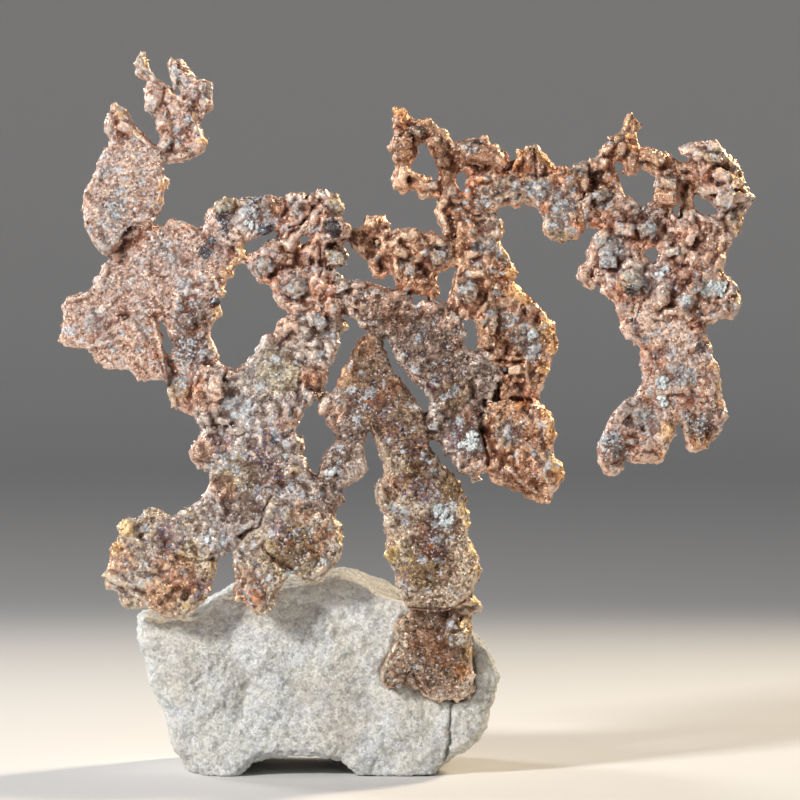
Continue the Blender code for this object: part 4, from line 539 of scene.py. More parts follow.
# %% Large crystals of the upper left
LARGE_LEFT = [
    (SLAB, -33.3, 89.3, 2.8, 1.1, -72, DARK), (SLAB, -32.5, 88.3, 1.8, 0.7, -62, BROWN),
    (BEAD, -32.2, 86.7, 1.7, 1.4, 0), (SLAB, -31.8, 84.8, 2.6, 1.8, 80, HIGHLIGHT),
    (BLOCK, -32.3, 83.6, 1.2, 0.9, 0, GREY), (SLAB, -29.3, 88.2, 4.2, 1.3, 100, GREY),
    (SLAB, -27.8, 87.6, 3.4, 1.2, -52), (BEAD, -25.6, 86.4, 2.2, 1.6, 90, DARK),
    (BEAD, -25.4, 84.2, 2.4, 1.8, 90), (BLOCK, -27.6, 84.4, 1.6, 1.2, 20, BROWN),
    (SLAB, -31.1, 81.7, 1.9, 1.2, 85, HIGHLIGHT), (BLOCK, -30.3, 79.4, 1.8, 1.2, 50, HIGHLIGHT),
    (SLAB, -25.7, 79.5, 2.0, 0.8, -58, GOLD_HIGHLIGHT), (SLAB, -28.4, 77.8, 3.2, 1.1, 10, BROWN),
    (BLOCK, -26.6, 82.6, 1.0, 0.7, 60, GOLD_HIGHLIGHT), (BEAD, -36.7, 84.4, 1.0, 0.8, 0, GOLD_HIGHLIGHT),
    (SLAB, -35.9, 83.1, 1.7, 1.1, -60, GOLD_HIGHLIGHT), (SLAB, -37.2, 82.2, 2.8, 1.0, 90),
    (BLOCK, -35.3, 81.3, 1.9, 1.5, -30), (SLAB, -33.5, 80.3, 2.8, 0.8, -42, GOLD_HIGHLIGHT),
    (SLAB, -30.6, 74.1, 2.2, 0.8, -78, GOLD_HIGHLIGHT), (SLAB, -31.0, 72.3, 1.8, 0.6, 84, GOLD_HIGHLIGHT),
    (SLAB, -40.2, 72.4, 2.8, 0.7, 95), (SLAB, -37.9, 66.4, 2.6, 1.0, -20, DARK),
    (SLAB, -34.6, 78.0, 1.4, 0.4, -25, HIGHLIGHT), (SLAB, -33.4, 69.8, 2.4, 0.6, 15),
    (SPINDLE, -32.8, 62.7, 1.6, 0.6, -30, HIGHLIGHT), (SLAB, -30.4, 63.1, 1.1, 0.5, 8, HIGHLIGHT),
    (BLOCK, -29.0, 60.8, 0.8, 0.5, -50, HIGHLIGHT), (BLOCK, -28.4, 60.3, 0.6, 0.5, 0, HIGHLIGHT),
    (BLOCK, -28.6, 58.8, 0.7, 0.6, 0, HIGHLIGHT), (SLAB, -34.6, 57.0, 1.6, 0.6, -18, HIGHLIGHT),
    (SLAB, -37.6, 54.3, 2.6, 0.7, 18), (SLAB, -20.9, 65.9, 2.2, 1.0, -48, GOLD_HIGHLIGHT),
    (SLAB, -21.3, 64.6, 1.6, 0.8, 32, GOLD_HIGHLIGHT), (BLOCK, -22.0, 63.9, 1.0, 0.8, 60, HIGHLIGHT),
    (BEAD, -22.7, 63.0, 1.5, 1.3, 0, GOLD_HIGHLIGHT), (SLAB, -23.0, 60.8, 1.6, 0.8, -20, GOLD_HIGHLIGHT),
    (BEAD, -23.4, 58.0, 1.5, 1.3, 60, HIGHLIGHT), (BLOCK, -24.5, 58.3, 1.0, 0.8, 0, GOLD_HIGHLIGHT),
    (SLAB, -29.2, 69.3, 2.4, 0.8, -14), (SLAB, -27.4, 69.0, 1.6, 0.7, -38, GOLD_HIGHLIGHT),
    (SLAB, -36.4, 65.2, 1.8, 1.3, -20, BROWN), (SLAB, -38.7, 63.2, 4.0, 0.8, 58, BROWN),
    (SLAB, -41.2, 60.7, 3.2, 0.7, 22, BROWN), (SLAB, -43.1, 58.4, 2.2, 0.6, 84, BROWN),
    (SLAB, -25.6, 55.8, 2.6, 1.0, 65, BROWN), (SLAB, -24.2, 53.6, 2.4, 0.7, -52, GOLD_HIGHLIGHT),
    (BLOCK, -25.2, 53.1, 1.6, 1.1, 20, GREY), (SLAB, -29.4, 47.6, 4.0, 0.9, -68, DARK),
    (BEAD, -27.4, 57.2, 2.6, 2.2, 0, GREY), (SLAB, -34.4, 68.0, 2.6, 0.8, 30),
]

# %% Large crystals of the trunk and the feet
LARGE_LOW = [
    (BEAD, -10.8, 57.0, 2.5, 2.3, 90, GREY), (BEAD, -9.2, 58.5, 2.0, 1.6, 90),
    (SLAB, -12.0, 57.0, 2.2, 0.6, 105, HIGHLIGHT), (BLOCK, -14.5, 56.6, 1.7, 1.3, 10, HIGHLIGHT),
    (BLOCK, -15.7, 56.1, 1.5, 1.2, -20), (SLAB, -17.0, 54.6, 2.2, 1.5, -45, BROWN),
    (BLOCK, -14.7, 54.3, 0.9, 0.7, 0, HIGHLIGHT), (BLOCK, -12.9, 54.5, 0.9, 0.7, 0, HIGHLIGHT),
    (BLOCK, -11.5, 54.4, 1.4, 1.1, 30), (SLAB, -9.5, 52.6, 2.6, 0.8, 85, BROWN),
    (BLOCK, -16.9, 46.4, 1.0, 0.6, 30, HIGHLIGHT), (SLAB, -21.4, 43.6, 2.4, 1.0, -8, HIGHLIGHT),
    (BLOCK, -23.7, 49.4, 2.4, 1.9, 80, HIGHLIGHT), (BLOCK, -23.6, 47.9, 1.7, 1.3, 20, HIGHLIGHT),
    (BLOCK, -25.5, 49.1, 1.0, 0.8, 10, HIGHLIGHT), (BLOCK, -26.4, 48.2, 0.7, 0.5, 40, HIGHLIGHT),
    (SLAB, -24.0, 46.2, 1.8, 1.1, -50), (BLOCK, -22.9, 44.8, 1.6, 1.0, -10, BROWN),
    (BLOCK, -25.3, 44.8, 1.8, 1.3, 0, GREY), (BEAD, -26.0, 40.9, 2.8, 2.4, 0, BROWN),
    (SLAB, -24.6, 43.6, 1.8, 0.9, 0), (SLAB, -21.4, 50.6, 2.8, 0.8, 18, BROWN),
    (BEAD, -12.2, 47.6, 2.3, 1.9, 80, GREY), (SLAB, -12.8, 48.6, 1.5, 0.6, 80, HIGHLIGHT),
    (SLAB, -11.5, 50.0, 2.2, 1.0, 80, BROWN), (SLAB, -15.0, 46.1, 2.0, 1.2, 85, BROWN),
    (SLAB, -14.8, 44.9, 2.2, 0.8, -10, BROWN), (SLAB, -14.6, 43.8, 1.8, 0.7, 5),
    (SLAB, -14.3, 47.0, 1.4, 0.4, 80, HIGHLIGHT), (BLOCK, -14.6, 42.2, 1.9, 1.2, 30),
    (BEAD, -12.9, 41.2, 0.9, 0.8, 0), (BLOCK, -13.9, 38.8, 1.3, 0.8, 0, GOLD_HIGHLIGHT),
    (BLOCK, -15.4, 39.3, 0.7, 0.5, 0, HIGHLIGHT), (SLAB, -15.0, 33.4, 2.6, 1.4, 85, BROWN),
    (SLAB, -24.4, 37.6, 2.2, 0.7, 80, BROWN), (SLAB, -11.6, 36.4, 1.8, 0.4, 85, HIGHLIGHT),
    (BEAD, -4.2, 55.0, 1.8, 1.1, -10), (BEAD, -6.3, 52.9, 1.7, 1.3, 70), (BEAD, -7.1, 51.1, 1.6, 1.1, 30),
    (BEAD, -8.0, 49.4, 1.5, 1.2, 60), (SLAB, -10.3, 46.8, 3.4, 1.6, 62, HIGHLIGHT),
    (SLAB, -8.4, 44.8, 1.9, 0.7, 68, HIGHLIGHT), (SLAB, -7.8, 46.4, 1.8, 0.4, 85, HIGHLIGHT),
    (SLAB, -9.2, 44.3, 2.2, 1.0, -58), (SLAB, -9.7, 40.6, 2.4, 0.6, 88, HIGHLIGHT),
    (SLAB, -3.6, 42.6, 4.6, 0.9, -64, BROWN), (BLOCK, -2.4, 39.8, 0.9, 0.6, 80, HIGHLIGHT),
    (BEAD, 3.2, 39.6, 1.4, 1.2, 0), (BEAD, 0.4, 38.6, 1.8, 1.5, 0, GOLD_HIGHLIGHT),
    (BEAD, 4.6, 38.3, 1.3, 1.2, 0, GREY), (SLAB, -0.9, 48.6, 2.4, 1.0, -60, BROWN),
    (SLAB, -9.0, 30.0, 3.8, 0.8, 85, BROWN), (SLAB, -10.7, 26.5, 3.2, 1.4, 38, DARK),
    (SLAB, -19.0, 22.8, 2.6, 1.2, -45, BROWN), (BEAD, -34.6, 31.3, 2.2, 1.4, 52, HIGHLIGHT),
    (BEAD, -36.3, 29.0, 1.2, 1.1, 0, HIGHLIGHT), (BLOCK, -36.6, 25.4, 2.4, 1.4, -32, HIGHLIGHT),
    (BEAD, -37.0, 26.9, 1.3, 1.0, 0), (BEAD, -34.8, 22.4, 1.7, 1.3, 0, BROWN),
    (BEAD, -31.2, 22.6, 1.3, 1.5, 0), (BEAD, -29.4, 21.8, 1.6, 1.2, 10, BROWN),
    (BEAD, -27.5, 21.8, 1.7, 1.1, 80, GOLD_HIGHLIGHT), (SLAB, -26.3, 23.4, 2.6, 1.3, 58, BROWN),
    (BEAD, -24.5, 26.6, 1.3, 1.1, 80, GOLD_HIGHLIGHT), (BLOCK, -31.9, 26.3, 0.9, 0.7, 0, GOLD_HIGHLIGHT),
    (SLAB, 6.9, 33.8, 4.6, 0.9, -80, GOLD_HIGHLIGHT), (BLOCK, 7.5, 32.0, 1.0, 0.8, -40, HIGHLIGHT),
    (BEAD, 8.1, 28.6, 1.7, 0.9, -60, GOLD_HIGHLIGHT), (SLAB, 8.5, 25.8, 2.5, 0.8, 82, GOLD_HIGHLIGHT),
    (SLAB, -3.2, 36.0, 3.2, 1.1, -72, BROWN), (SLAB, -1.9, 37.2, 2.0, 0.5, 85),
    (BLOCK, -2.2, 32.3, 1.2, 0.9, 20, HIGHLIGHT), (BEAD, -2.4, 28.4, 1.6, 0.8, -70, GOLD_HIGHLIGHT),
    (SLAB, -0.5, 23.5, 2.4, 0.7, -62, BROWN), (SLAB, 7.5, 22.3, 2.6, 1.3, -22, BROWN),
    (SPINDLE, 8.7, 22.8, 1.6, 0.5, -55, GOLD_HIGHLIGHT), (SLAB, -1.9, 15.9, 2.6, 0.8, 57, BROWN),
    (SLAB, -3.0, 13.1, 2.2, 0.7, 82, BROWN), (SLAB, -1.4, 12.2, 2.8, 0.9, 6, BROWN),
    (BLOCK, 7.2, 19.4, 1.6, 1.2, 45, GOLD_HIGHLIGHT), (SPINDLE, 6.6, 13.2, 1.8, 0.6, -58, GOLD_HIGHLIGHT),
    (BEAD, 7.7, 15.6, 1.3, 0.8, 85, GOLD_HIGHLIGHT), (BLOCK, 6.3, 17.7, 2.2, 2.0, 10, DARK),
    (SLAB, 2.0, 11.2, 2.2, 0.6, -45, BROWN),
]

# %% Forms of the large crystals
VARIANTS = 14
HEXAGON = [(0.5, 0.0), (0.26, 0.5), (-0.26, 0.5), (-0.5, 0.0), (-0.26, -0.5), (0.26, -0.5)]
BEAD_CORNERS = 22
form_rng = np.random.default_rng(3)


def hull(points):
    """The convex hull of some points, as corners and faces."""
    body = bmesh.new()
    for point in points:
        body.verts.new(point)
    made = bmesh.ops.convex_hull(body, input=body.verts[:])
    inside = [item for item in made["geom_interior"] if isinstance(item, bmesh.types.BMVert)]
    bmesh.ops.delete(body, geom=inside, context="VERTS")
    body.verts.index_update()
    corners = np.array([vertex.co[:] for vertex in body.verts])
    faces = [[vertex.index for vertex in face.verts] for face in body.faces]
    body.free()
    return corners, faces


def ball_points(count):
    """Random points on a ball one unit across."""
    points = form_rng.normal(size=(count, 3))
    return 0.5 * points / np.linalg.norm(points, axis=1, keepdims=True)


SLAB_LAYERS = ((-0.5, 0.75), (0.0, 1.0), (0.5, 0.75))
BASE_CORNERS = {
    SPINDLE: [(0.5, 0, 0), (-0.5, 0, 0), (0.1, 0.5, 0.1), (-0.05, -0.5, 0), (0, 0, 0.5), (0, 0, -0.5)],
    SLAB: [(x * reach, z * reach, y) for y, reach in SLAB_LAYERS for x, z in HEXAGON],
    BLOCK: [(x, z, y) for x in (-0.5, 0.5) for z in (-0.45, 0.45) for y in (-0.5, 0.5)],
}
UNEVENNESS = {SPINDLE: 0.12, SLAB: 0.1, BLOCK: 0.16}


def form_variants(form):
    """Several uneven hulls of one form."""
    if form == BEAD:
        return [hull(ball_points(BEAD_CORNERS)) for _ in range(VARIANTS)]
    base = np.array(BASE_CORNERS[form])
    reach = UNEVENNESS[form]
    return [hull(base + form_rng.uniform(-reach, reach, base.shape)) for _ in range(VARIANTS)]


LARGE_FORMS = {form: form_variants(form) for form in THICKNESS}
print("forms:", {form: len(variants) for form, variants in LARGE_FORMS.items()})

# %% Placing the large crystals
SINK = 0.42
FREE_TURN = 35
SURFACE_PULL = 0.45
LEAN = 0.2
RAY_START = 100 * MM
LARGE = LARGE_RIGHT + LARGE_LOWER_RIGHT + LARGE_TOP + LARGE_LEFT + LARGE_LOW


def find_seat(x, z, side):
    """Where a ray from the front (side -1) or the back (side 1) meets the smooth skin."""
    start = Vector((x * MM, side * RAY_START, z * MM))
    place, normal, _, _ = smooth_skin.ray_cast(start, Vector((0, -side, 0)))
    if place is None:
        place, normal, _, _ = smooth_skin.find_nearest(Vector((x * MM, SHEET_DEPTH, z * MM)))
    return place, normal


def seat_crystal(form, x, z, length, width, turn, side, rng):
    """The corners and faces of one large crystal in its seat."""
    place, normal = find_seat(x, z, side)
    outward = (normal.normalized() * SURFACE_PULL + Vector((0, side, 0))).normalized()
    free_turn = rng.uniform(-FREE_TURN, FREE_TURN) if side > 0 else 0
    angle = math.radians(turn + free_turn)
    along = Vector((math.cos(angle), 0, math.sin(angle)))
    along = (along - outward * (along.dot(outward) + rng.uniform(-LEAN, LEAN))).normalized()
    across = outward.cross(along).normalized()
    axes = np.array([along[:], across[:], along.cross(across)[:]])
    sizes = np.array([length, width, THICKNESS[form] * width]) * MM
    corners, faces = LARGE_FORMS[form][rng.integers(VARIANTS)]
    centre = np.array(place) + np.array(outward) * (0.5 - SINK) * sizes[2]
    return centre + (corners * sizes) @ axes, faces


def large_crystals():
    """All large crystals, front and back, as one mesh that remembers each one's tone."""
    rng = np.random.default_rng(7)
    corners = []
    faces = []
    tones = []
    for form, x, z, length, width, turn, *named in LARGE:
        for side in (-1, 1):
            places, sides = seat_crystal(form, x, z, length, width, turn, side, rng)
            start = len(tones)
            corners.append(places)
            faces.extend([start + corner for corner in face] for face in sides)
            tones.extend((named or [PLAIN]) * len(places))
    piece = mesh_object("large_crystals", np.concatenate(corners), faces)
    for name, values in zip(TONE_PARTS, np.array([TONES[tone] for tone in tones]).T):
        store(piece, name, values)
    return piece


large = large_crystals()
print("large crystals:", 2 * len(LARGE), "corners:", len(large.data.vertices))

# %% [markdown]
# ## Crystals of the middle size
# Between the large crystals the skin is crowded with crystals of half a millimetre to one millimetre.
# Nobody could place them all by hand, so they are scattered by chance, thickly on the clusters and thinly
# on the plates. Instances would do for a picture, but they are lost in an export. Here the corners of all
# of them are worked out in arrays, which gives real mesh.

# %% Crystal forms
OCTAHEDRON = (
    [(1, 0, 0), (-1, 0, 0), (0, 1, 0), (0, -1, 0), (0, 0, 1), (0, 0, -1)],
    [(0, 2, 4), (2, 1, 4), (1, 3, 4), (3, 0, 4), (2, 0, 5), (1, 2, 5), (3, 1, 5), (0, 3, 5)],
)
CUBE = (
    [(x, y, z) for x in (-0.75, 0.75) for y in (-0.75, 0.75) for z in (-0.75, 0.75)],
    [(0, 1, 3, 2), (4, 6, 7, 5), (0, 4, 5, 1), (2, 3, 7, 6), (0, 2, 6, 4), (1, 5, 7, 3)],
)
CRYSTAL_SINK = 0.3
SIZE_SPREAD = (0.75, 1.3)
TINT_SPREAD = (0.05, 1)
RADIUS_BIAS = 2.0
FORMS = {
    "cube": (CUBE, (1.0, 1.0, 1.0)),
    "octahedron": (OCTAHEDRON, (1.1, 1.1, 1.1)),
    "leaf": (OCTAHEDRON, (1.5, 0.8, 0.4)),
    "spindle": (OCTAHEDRON, (0.6, 0.6, 1.7)),
}


def sample_surface(piece, count, rng):
    """Random points spread evenly over a mesh, with their normals and the nearest corner of each."""
    mesh = piece.data
    mesh.calc_loop_triangles()
    corners = np.empty(len(mesh.loop_triangles) * 3, dtype=np.int32)
    mesh.loop_triangles.foreach_get("vertices", corners)
    corners = corners.reshape(-1, 3)
    places = read_vectors(mesh.vertices, "co")
    a, b, c = (places[corners[:, side]] for side in range(3))
    across = np.cross(b - a, c - a)
    areas = np.linalg.norm(across, axis=1)
    chosen = rng.choice(len(areas), size=count, p=areas / areas.sum())
    share = rng.random((count, 2))
    over = share.sum(axis=1) > 1
    share[over] = 1 - share[over]
    u, v = share[:, :1], share[:, 1:]
    points = a[chosen] * (1 - u - v) + b[chosen] * u + c[chosen] * v
    normals = across[chosen] / areas[chosen, None]
    return points, normals, corners[chosen, 0]


def turned_frames(normals, lean, rng):
    """For each crystal three axes at right angles, the third leaning from the surface's normal."""
    third = normals + lean * rng.normal(size=normals.shape)
    third /= np.linalg.norm(third, axis=1, keepdims=True)
    first = np.cross(third, rng.normal(size=normals.shape))
    first /= np.linalg.norm(first, axis=1, keepdims=True)
    return np.stack([first, np.cross(third, first), third], axis=1)


def crystal_mesh(form, points, normals, radii, lean, rng):
    """Crystals of one form as one mesh with plain flat faces, each with a random tint."""
    (corners, faces), stretch = FORMS[form]
    shape = np.array(corners) * np.array(stretch)
    sizes = radii[:, None] * rng.uniform(*SIZE_SPREAD, (len(radii), 3))
    centres = points - normals * (radii * CRYSTAL_SINK)[:, None]
    frames = turned_frames(normals, lean, rng)
    places = centres[:, None, :] + np.einsum("nc,kc,ncd->nkd", sizes, shape, frames)
    starts = np.arange(len(centres)) * len(corners)
    all_faces = [[start + corner for corner in face] for start in starts.tolist() for face in faces]
    piece = mesh_object(f"{form}s", places.reshape(-1, 3), all_faces)
    store(piece, "tint", np.repeat(rng.uniform(*TINT_SPREAD, len(centres)), len(corners)))
    return piece


# %% Middle crystals
MIDDLE_RECIPE = {
    "cube": (0.5, (0.3, 0.6), 0.8),
    "octahedron": (0.5, (0.35, 0.75), 0.8),
    "leaf": (0.3, (0.4, 0.8), 0.7),
}
MIDDLE_SHARE = {"sugary": 0.12, "lumpy": 0.55, "crystalline": 0.5, "spindly": 0.25}
RIM_CRYSTALS = 0.35


def surface_area(piece):
    """Area of a mesh in square millimetres."""
    return sum(polygon.area for polygon in piece.data.polygons) / MM ** 2


def random_radii(count, smallest, largest, rng):
    """Radii in metres, with many small ones and few large ones."""
    return smallest * (largest / smallest) ** (rng.random(count) ** RADIUS_BIAS) * MM


def middle_crystals(piece, recipe):
    """Crystals scattered over the skin: number per mm2, smallest and largest radius in mm, and lean."""
    rng = np.random.default_rng(11)
    by_branch = np.array([MIDDLE_SHARE[habit_of[branch]] for branch in branches])
    made = []
    for form, (density, reach, lean) in recipe.items():
        points, normals, corners = sample_surface(piece, int(density * surface_area(piece)), rng)
        share = by_branch[nearest_branches(points)] + RIM_CRYSTALS * smooth_rim[corners]
        kept = rng.random(len(points)) < share
        radii = random_radii(int(kept.sum()), *reach, rng)
        made.append(crystal_mesh(form, points[kept], normals[kept], radii, lean, rng))
    return made


middles = middle_crystals(copper, MIDDLE_RECIPE)
for piece in middles:
    for name in ("gilt", "patina"):
        store(piece, name, np.zeros(len(piece.data.vertices)))
join(large, middles)
print("faces of large and middle crystals:", len(large.data.polygons))

# %% [markdown]
# ## Grow them together
# On the real piece the crystals are not glued on: each has grown out of the last, with rounded feet. So
# they are joined to the skin and the whole is remeshed once more. A remesh forgets which crystal was
# which, so every point of the new skin looks up the nearest crystal and takes its tone.

# %% Skin with crystals
GROWN_VOXEL = 0.21 * MM
GROWN_SHRINK = -0.14 * MM
GROWN_REACH = 0.12 * MM


def grow_together(skin, crystals):
    """Fuse crystals into the skin, and keep their tones as attributes."""
    tones = {name: read_store(crystals, name) for name in TONE_PARTS}
    tree = search_tree(crystals)
    first_corner = first_corners(crystals)
    join(skin, [crystals])
    even_skin(skin, GROWN_SHRINK, GROWN_VOXEL, 1)
    found = [tree.find_nearest(vertex.co, GROWN_REACH)[2] for vertex in skin.data.vertices]
    hit = np.array([face is not None for face in found])
    corner = first_corner[[face for face in found if face is not None]]
    for name, values in tones.items():
        taken = np.zeros(len(found))
        taken[hit] = values[corner]
        store(skin, name, taken)


grow_together(copper, large)
print("faces of the grown skin:", len(copper.data.polygons))

# %% Rims and hollows of the grown skin
HOLLOW = (40, 0.32 * MM)
RELIEF = (6, 0.08 * MM)


def hollow_share(piece, rounds, reach):
    """How deep each point lies in a hollow of the skin: 1 in a pit, 0 on a peak, a half where level."""
    places = read_vectors(piece.data.vertices, "co")
    normals = read_vectors(piece.data.vertex_normals, "vector")
    edges = edges_of(piece)
    smoothed = np.stack([evened(places[:, axis], edges, rounds) for axis in range(3)], axis=1)
    depth = ((smoothed - places) * normals).sum(axis=1)
    return smooth_step(depth, -reach, reach)


nearest_face = [smooth_skin.find_nearest(vertex.co)[2] for vertex in copper.data.vertices]
copper_rim = smooth_rim[smooth_corner[nearest_face]]
store(copper, "rim", copper_rim)
store(copper, "hollow", hollow_share(copper, *HOLLOW))
print("share of the grown skin in hollows:", round(float((read_store(copper, "hollow") > 0.7).mean()), 2))

# %% Owners of the skin
BRANCH_EVENING = 25

owner = nearest_branches([vertex.co for vertex in copper.data.vertices])
lumps_by_branch = np.array([HABITS[habit_of[branch]]["lumps"] for branch in branches])
lumpiness = evened(lumps_by_branch[owner], edges_of(copper), BRANCH_EVENING)
print("points on each branch:", dict(zip(branches, np.bincount(owner).tolist())))

# %% [markdown]
# ## Creases, ridges and pits
# Where two branches or two big crystals meet, the real piece has a dark crease, and here and there a
# sharp ridge or a pit. They were drawn as short paths in the front view, listed under their height
# and width in millimetres. A path pushes the points near it in or out along the depth, on the front side
# alone.

# %% Distance to a path


def distance_to_path(points, path):
    """Distance in the front view from each point, in millimetres, to a path of straight pieces."""
    nearest = np.full(len(points), np.inf)
    for start, end in zip(path, path[1:]):
        start, along = np.array(start), np.subtract(end, start)
        share = np.clip((points - start) @ along / max(along @ along, 1e-9), 0, 1)
        nearest = np.minimum(nearest, np.linalg.norm(points - start - share[:, None] * along, axis=1))
    return nearest


# %% Paths of creases and ridges
PATHS = {
    (-0.5, 0.35): [
        [(-30.4, 86.4), (-30.6, 85.0), (-30.0, 83.6), (-29.9, 82.8)],
        [(-29.8, 50.4), (-29.6, 49.6), (-29.9, 48.8)], [(23.0, 63.6), (23.2, 62.4)],
        [(-28.6, 27.8), (-27.0, 27.5), (-25.6, 27.3), (-24.3, 27.6)],
    ],
    (-0.3, 0.3): [
        [(-30.0, 77.6), (-29.4, 78.4), (-28.2, 78.4), (-26.8, 78.2)],
        [(-36.5, 82.7), (-36.2, 81.0), (-35.6, 79.9)],
        [(-35.3, 69.0), (-34.0, 69.4), (-33.0, 69.2), (-32.6, 68.6)],
    ],
    (-0.35, 0.35): [[(-37.6, 65.7), (-36.5, 65.9), (-35.8, 66.4), (-35.6, 65.2), (-35.8, 64.4)]],
    (-0.35, 0.2): [[(-38.2, 55.4), (-37.0, 55.5), (-35.6, 55.6)]],
    (0.35, 0.4): [
        [(-39.9, 53.8), (-37.0, 54.8), (-35.2, 55.2)],
        [(-34.0, 31.9), (-32.6, 33.0), (-31.2, 33.0), (-30.4, 32.2)],
    ],
    (-0.4, 0.25): [[(-33.3, 56.4), (-33.0, 57.4)]],
    (-0.5, 0.25): [
        [(-35.3, 57.4), (-34.8, 57.9)], [(2.1, 55.4), (2.0, 54.6), (2.3, 53.9)],
    ],
    (0.4, 0.35): [[(-31.8, 57.4), (-31.0, 55.0), (-30.3, 52.5), (-29.8, 50.4)]],
    (-0.5, 0.3): [
        [(-31.7, 54.8), (-31.1, 52.8), (-30.5, 51.4)], [(-22.9, 67.8), (-22.3, 67.4), (-21.6, 67.2)],
        [(-12.6, 72.9), (-12.1, 71.6), (-11.2, 71.1)],
        [(-10.9, 72.4), (-10.1, 71.4), (-9.3, 70.8), (-8.6, 70.4)],
        [(-11.6, 68.6), (-11.0, 69.2), (-10.7, 70.4)], [(-12.1, 65.2), (-11.9, 64.0), (-12.3, 63.2)],
        [(-16.8, 65.9), (-16.0, 65.6), (-15.2, 65.9), (-14.2, 65.6)],
        [(1.6, 68.4), (2.2, 67.6), (2.8, 67.0)], [(-2.0, 64.5), (-1.8, 63.5)],
        [(10.2, 57.2), (9.6, 56.4)], [(16.4, 58.3), (16.3, 57.2)],
        [(8.0, 77.2), (9.5, 76.7), (11.2, 76.0)],
        [(13.6, 76.6), (14.6, 75.6), (16.1, 75.0), (18.0, 75.6)],
        [(33.5, 62.0), (33.2, 60.8), (33.0, 59.8)], [(30.6, 61.4), (30.2, 60.2), (29.2, 59.4)],
        [(31.3, 58.9), (31.9, 58.3), (32.1, 57.6)], [(28.4, 59.2), (28.2, 58.2)],
        [(31.6, 47.6), (33.4, 47.9), (35.0, 47.8)],
        [(-24.9, 46.9), (-24.2, 47.2), (-23.2, 47.0), (-22.6, 48.0)],
    ],
    (-0.4, 0.35): [
        [(-25.6, 50.6), (-25.8, 49.9), (-26.2, 49.3), (-26.9, 48.6), (-27.2, 47.4)],
        [(-21.4, 72.1), (-21.2, 71.2), (-21.8, 70.6)],
    ],
    (-0.3, 0.35): [[(-18.6, 72.6), (-18.8, 71.4), (-18.2, 70.6)]],
    (-0.6, 0.35): [
        [(-15.2, 72.4), (-15.0, 71.0), (-15.7, 70.0)], [(-13.7, 66.0), (-13.9, 65.0), (-13.2, 64.2)],
        [(7.6, 70.0), (8.8, 69.3), (9.7, 69.7)], [(40.2, 71.0), (39.6, 69.8), (40.2, 68.4)],
        [(-16.9, 35.4), (-17.6, 34.2), (-18.1, 32.8), (-18.4, 31.6), (-19.9, 31.0), (-20.8, 30.4)],
    ],
    (-0.6, 0.3): [
        [(-14.7, 68.8), (-13.4, 69.1), (-12.8, 69.8)],
        [(-14.9, 67.4), (-14.6, 68.2), (-13.5, 68.6), (-12.6, 69.8), (-11.8, 71.2)],
        [(-10.8, 66.6), (-10.9, 65.0), (-10.5, 63.8), (-10.9, 62.6)],
        [(9.9, 60.9), (9.7, 59.8), (9.0, 59.1), (8.4, 58.0)], [(11.0, 52.3), (12.5, 52.0), (14.2, 52.0)],
        [(0.2, 21.6), (2.0, 21.4), (4.5, 21.3), (6.0, 21.7), (7.2, 22.4)],
        [(0.9, 12.9), (1.5, 11.7), (2.4, 10.6)],
    ],
    (-0.4, 0.3): [
        [(-9.2, 69.9), (-8.6, 69.0), (-8.4, 68.0)], [(-15.4, 62.8), (-14.6, 63.2), (-13.8, 62.9)],
        [(-11.6, 61.6), (-11.2, 60.9), (-11.5, 60.2)], [(-0.9, 66.9), (-0.2, 67.0), (0.6, 66.7)],
        [(-1.4, 58.6), (-0.6, 58.9), (0.6, 58.8), (1.3, 58.4)],
        [(26.4, 65.3), (27.4, 64.9), (28.4, 65.2)],
    ],
    (-0.8, 0.7): [[(-4.4, 67.0), (-3.6, 66.8)]],
    (-0.7, 0.25): [[(-0.1, 66.3), (0.4, 66.1), (0.9, 65.9)]],
    (-0.7, 0.6): [[(1.4, 64.1), (2.2, 63.6), (2.4, 62.9)]],
    (-0.7, 0.7): [[(-3.4, 64.4), (-3.2, 63.6)]],
    (-0.25, 0.3): [[(5.8, 68.6), (5.9, 67.0), (5.9, 65.2), (6.2, 64.4)]],
    (-0.6, 0.4): [
        [(12.3, 54.5), (12.6, 53.8), (12.2, 53.2)], [(14.9, 58.2), (14.4, 59.0)],
        [(36.3, 69.9), (36.7, 69.0)],
    ],
    (0.4, 0.4): [
        [(14.9, 52.6), (14.8, 50.8), (15.1, 49.6)], [(2.2, 22.2), (4.3, 22.5)],
    ],
    (-0.7, 0.4): [[(13.0, 47.6), (14.4, 47.5), (15.3, 47.3)]],
    (-1.2, 0.45): [[(9.6, 47.2), (9.7, 46.7)]],
    (-0.8, 0.3): [[(9.3, 43.6), (9.5, 42.4), (9.8, 41.2), (10.2, 40.0), (10.1, 39.2)]],
    (-0.6, 0.5): [
        [(7.9, 49.6), (8.2, 48.8), (8.2, 47.8)], [(35.6, 56.2), (36.6, 56.7)],
    ],
    (-0.6, 0.25): [[(15.9, 78.6), (15.95, 77.0), (16.1, 75.2)]],
    (-0.35, 0.4): [[(32.6, 71.0), (32.5, 69.6), (32.2, 68.4)]],
    (-0.7, 0.3): [[(29.5, 43.8), (29.6, 43.4)]],
    (-0.7, 0.35): [[(-17.7, 28.7), (-16.4, 27.5), (-15.0, 26.7), (-14.2, 26.4)]],
    (-0.6, 0.6): [[(-33.9, 23.8), (-32.8, 23.4)]],
    (-0.5, 0.4): [
        [(-35.8, 24.0), (-35.0, 23.4)], [(-13.3, 49.8), (-13.5, 48.4), (-13.2, 46.8)],
    ],
    (0.35, 0.3): [[(-19.3, 47.8), (-18.4, 47.6), (-17.6, 48.1)]],
    (0.5, 0.5): [[(5.2, 19.5), (4.9, 18.0), (5.3, 16.6)]],
}
PATH_CORE, PATH_EDGE = 0.1, 1.1
PATH_STRENGTH = 0.62
DEEPEST, HIGHEST = 1.0, 0.5
FULL_CREASE = 0.4


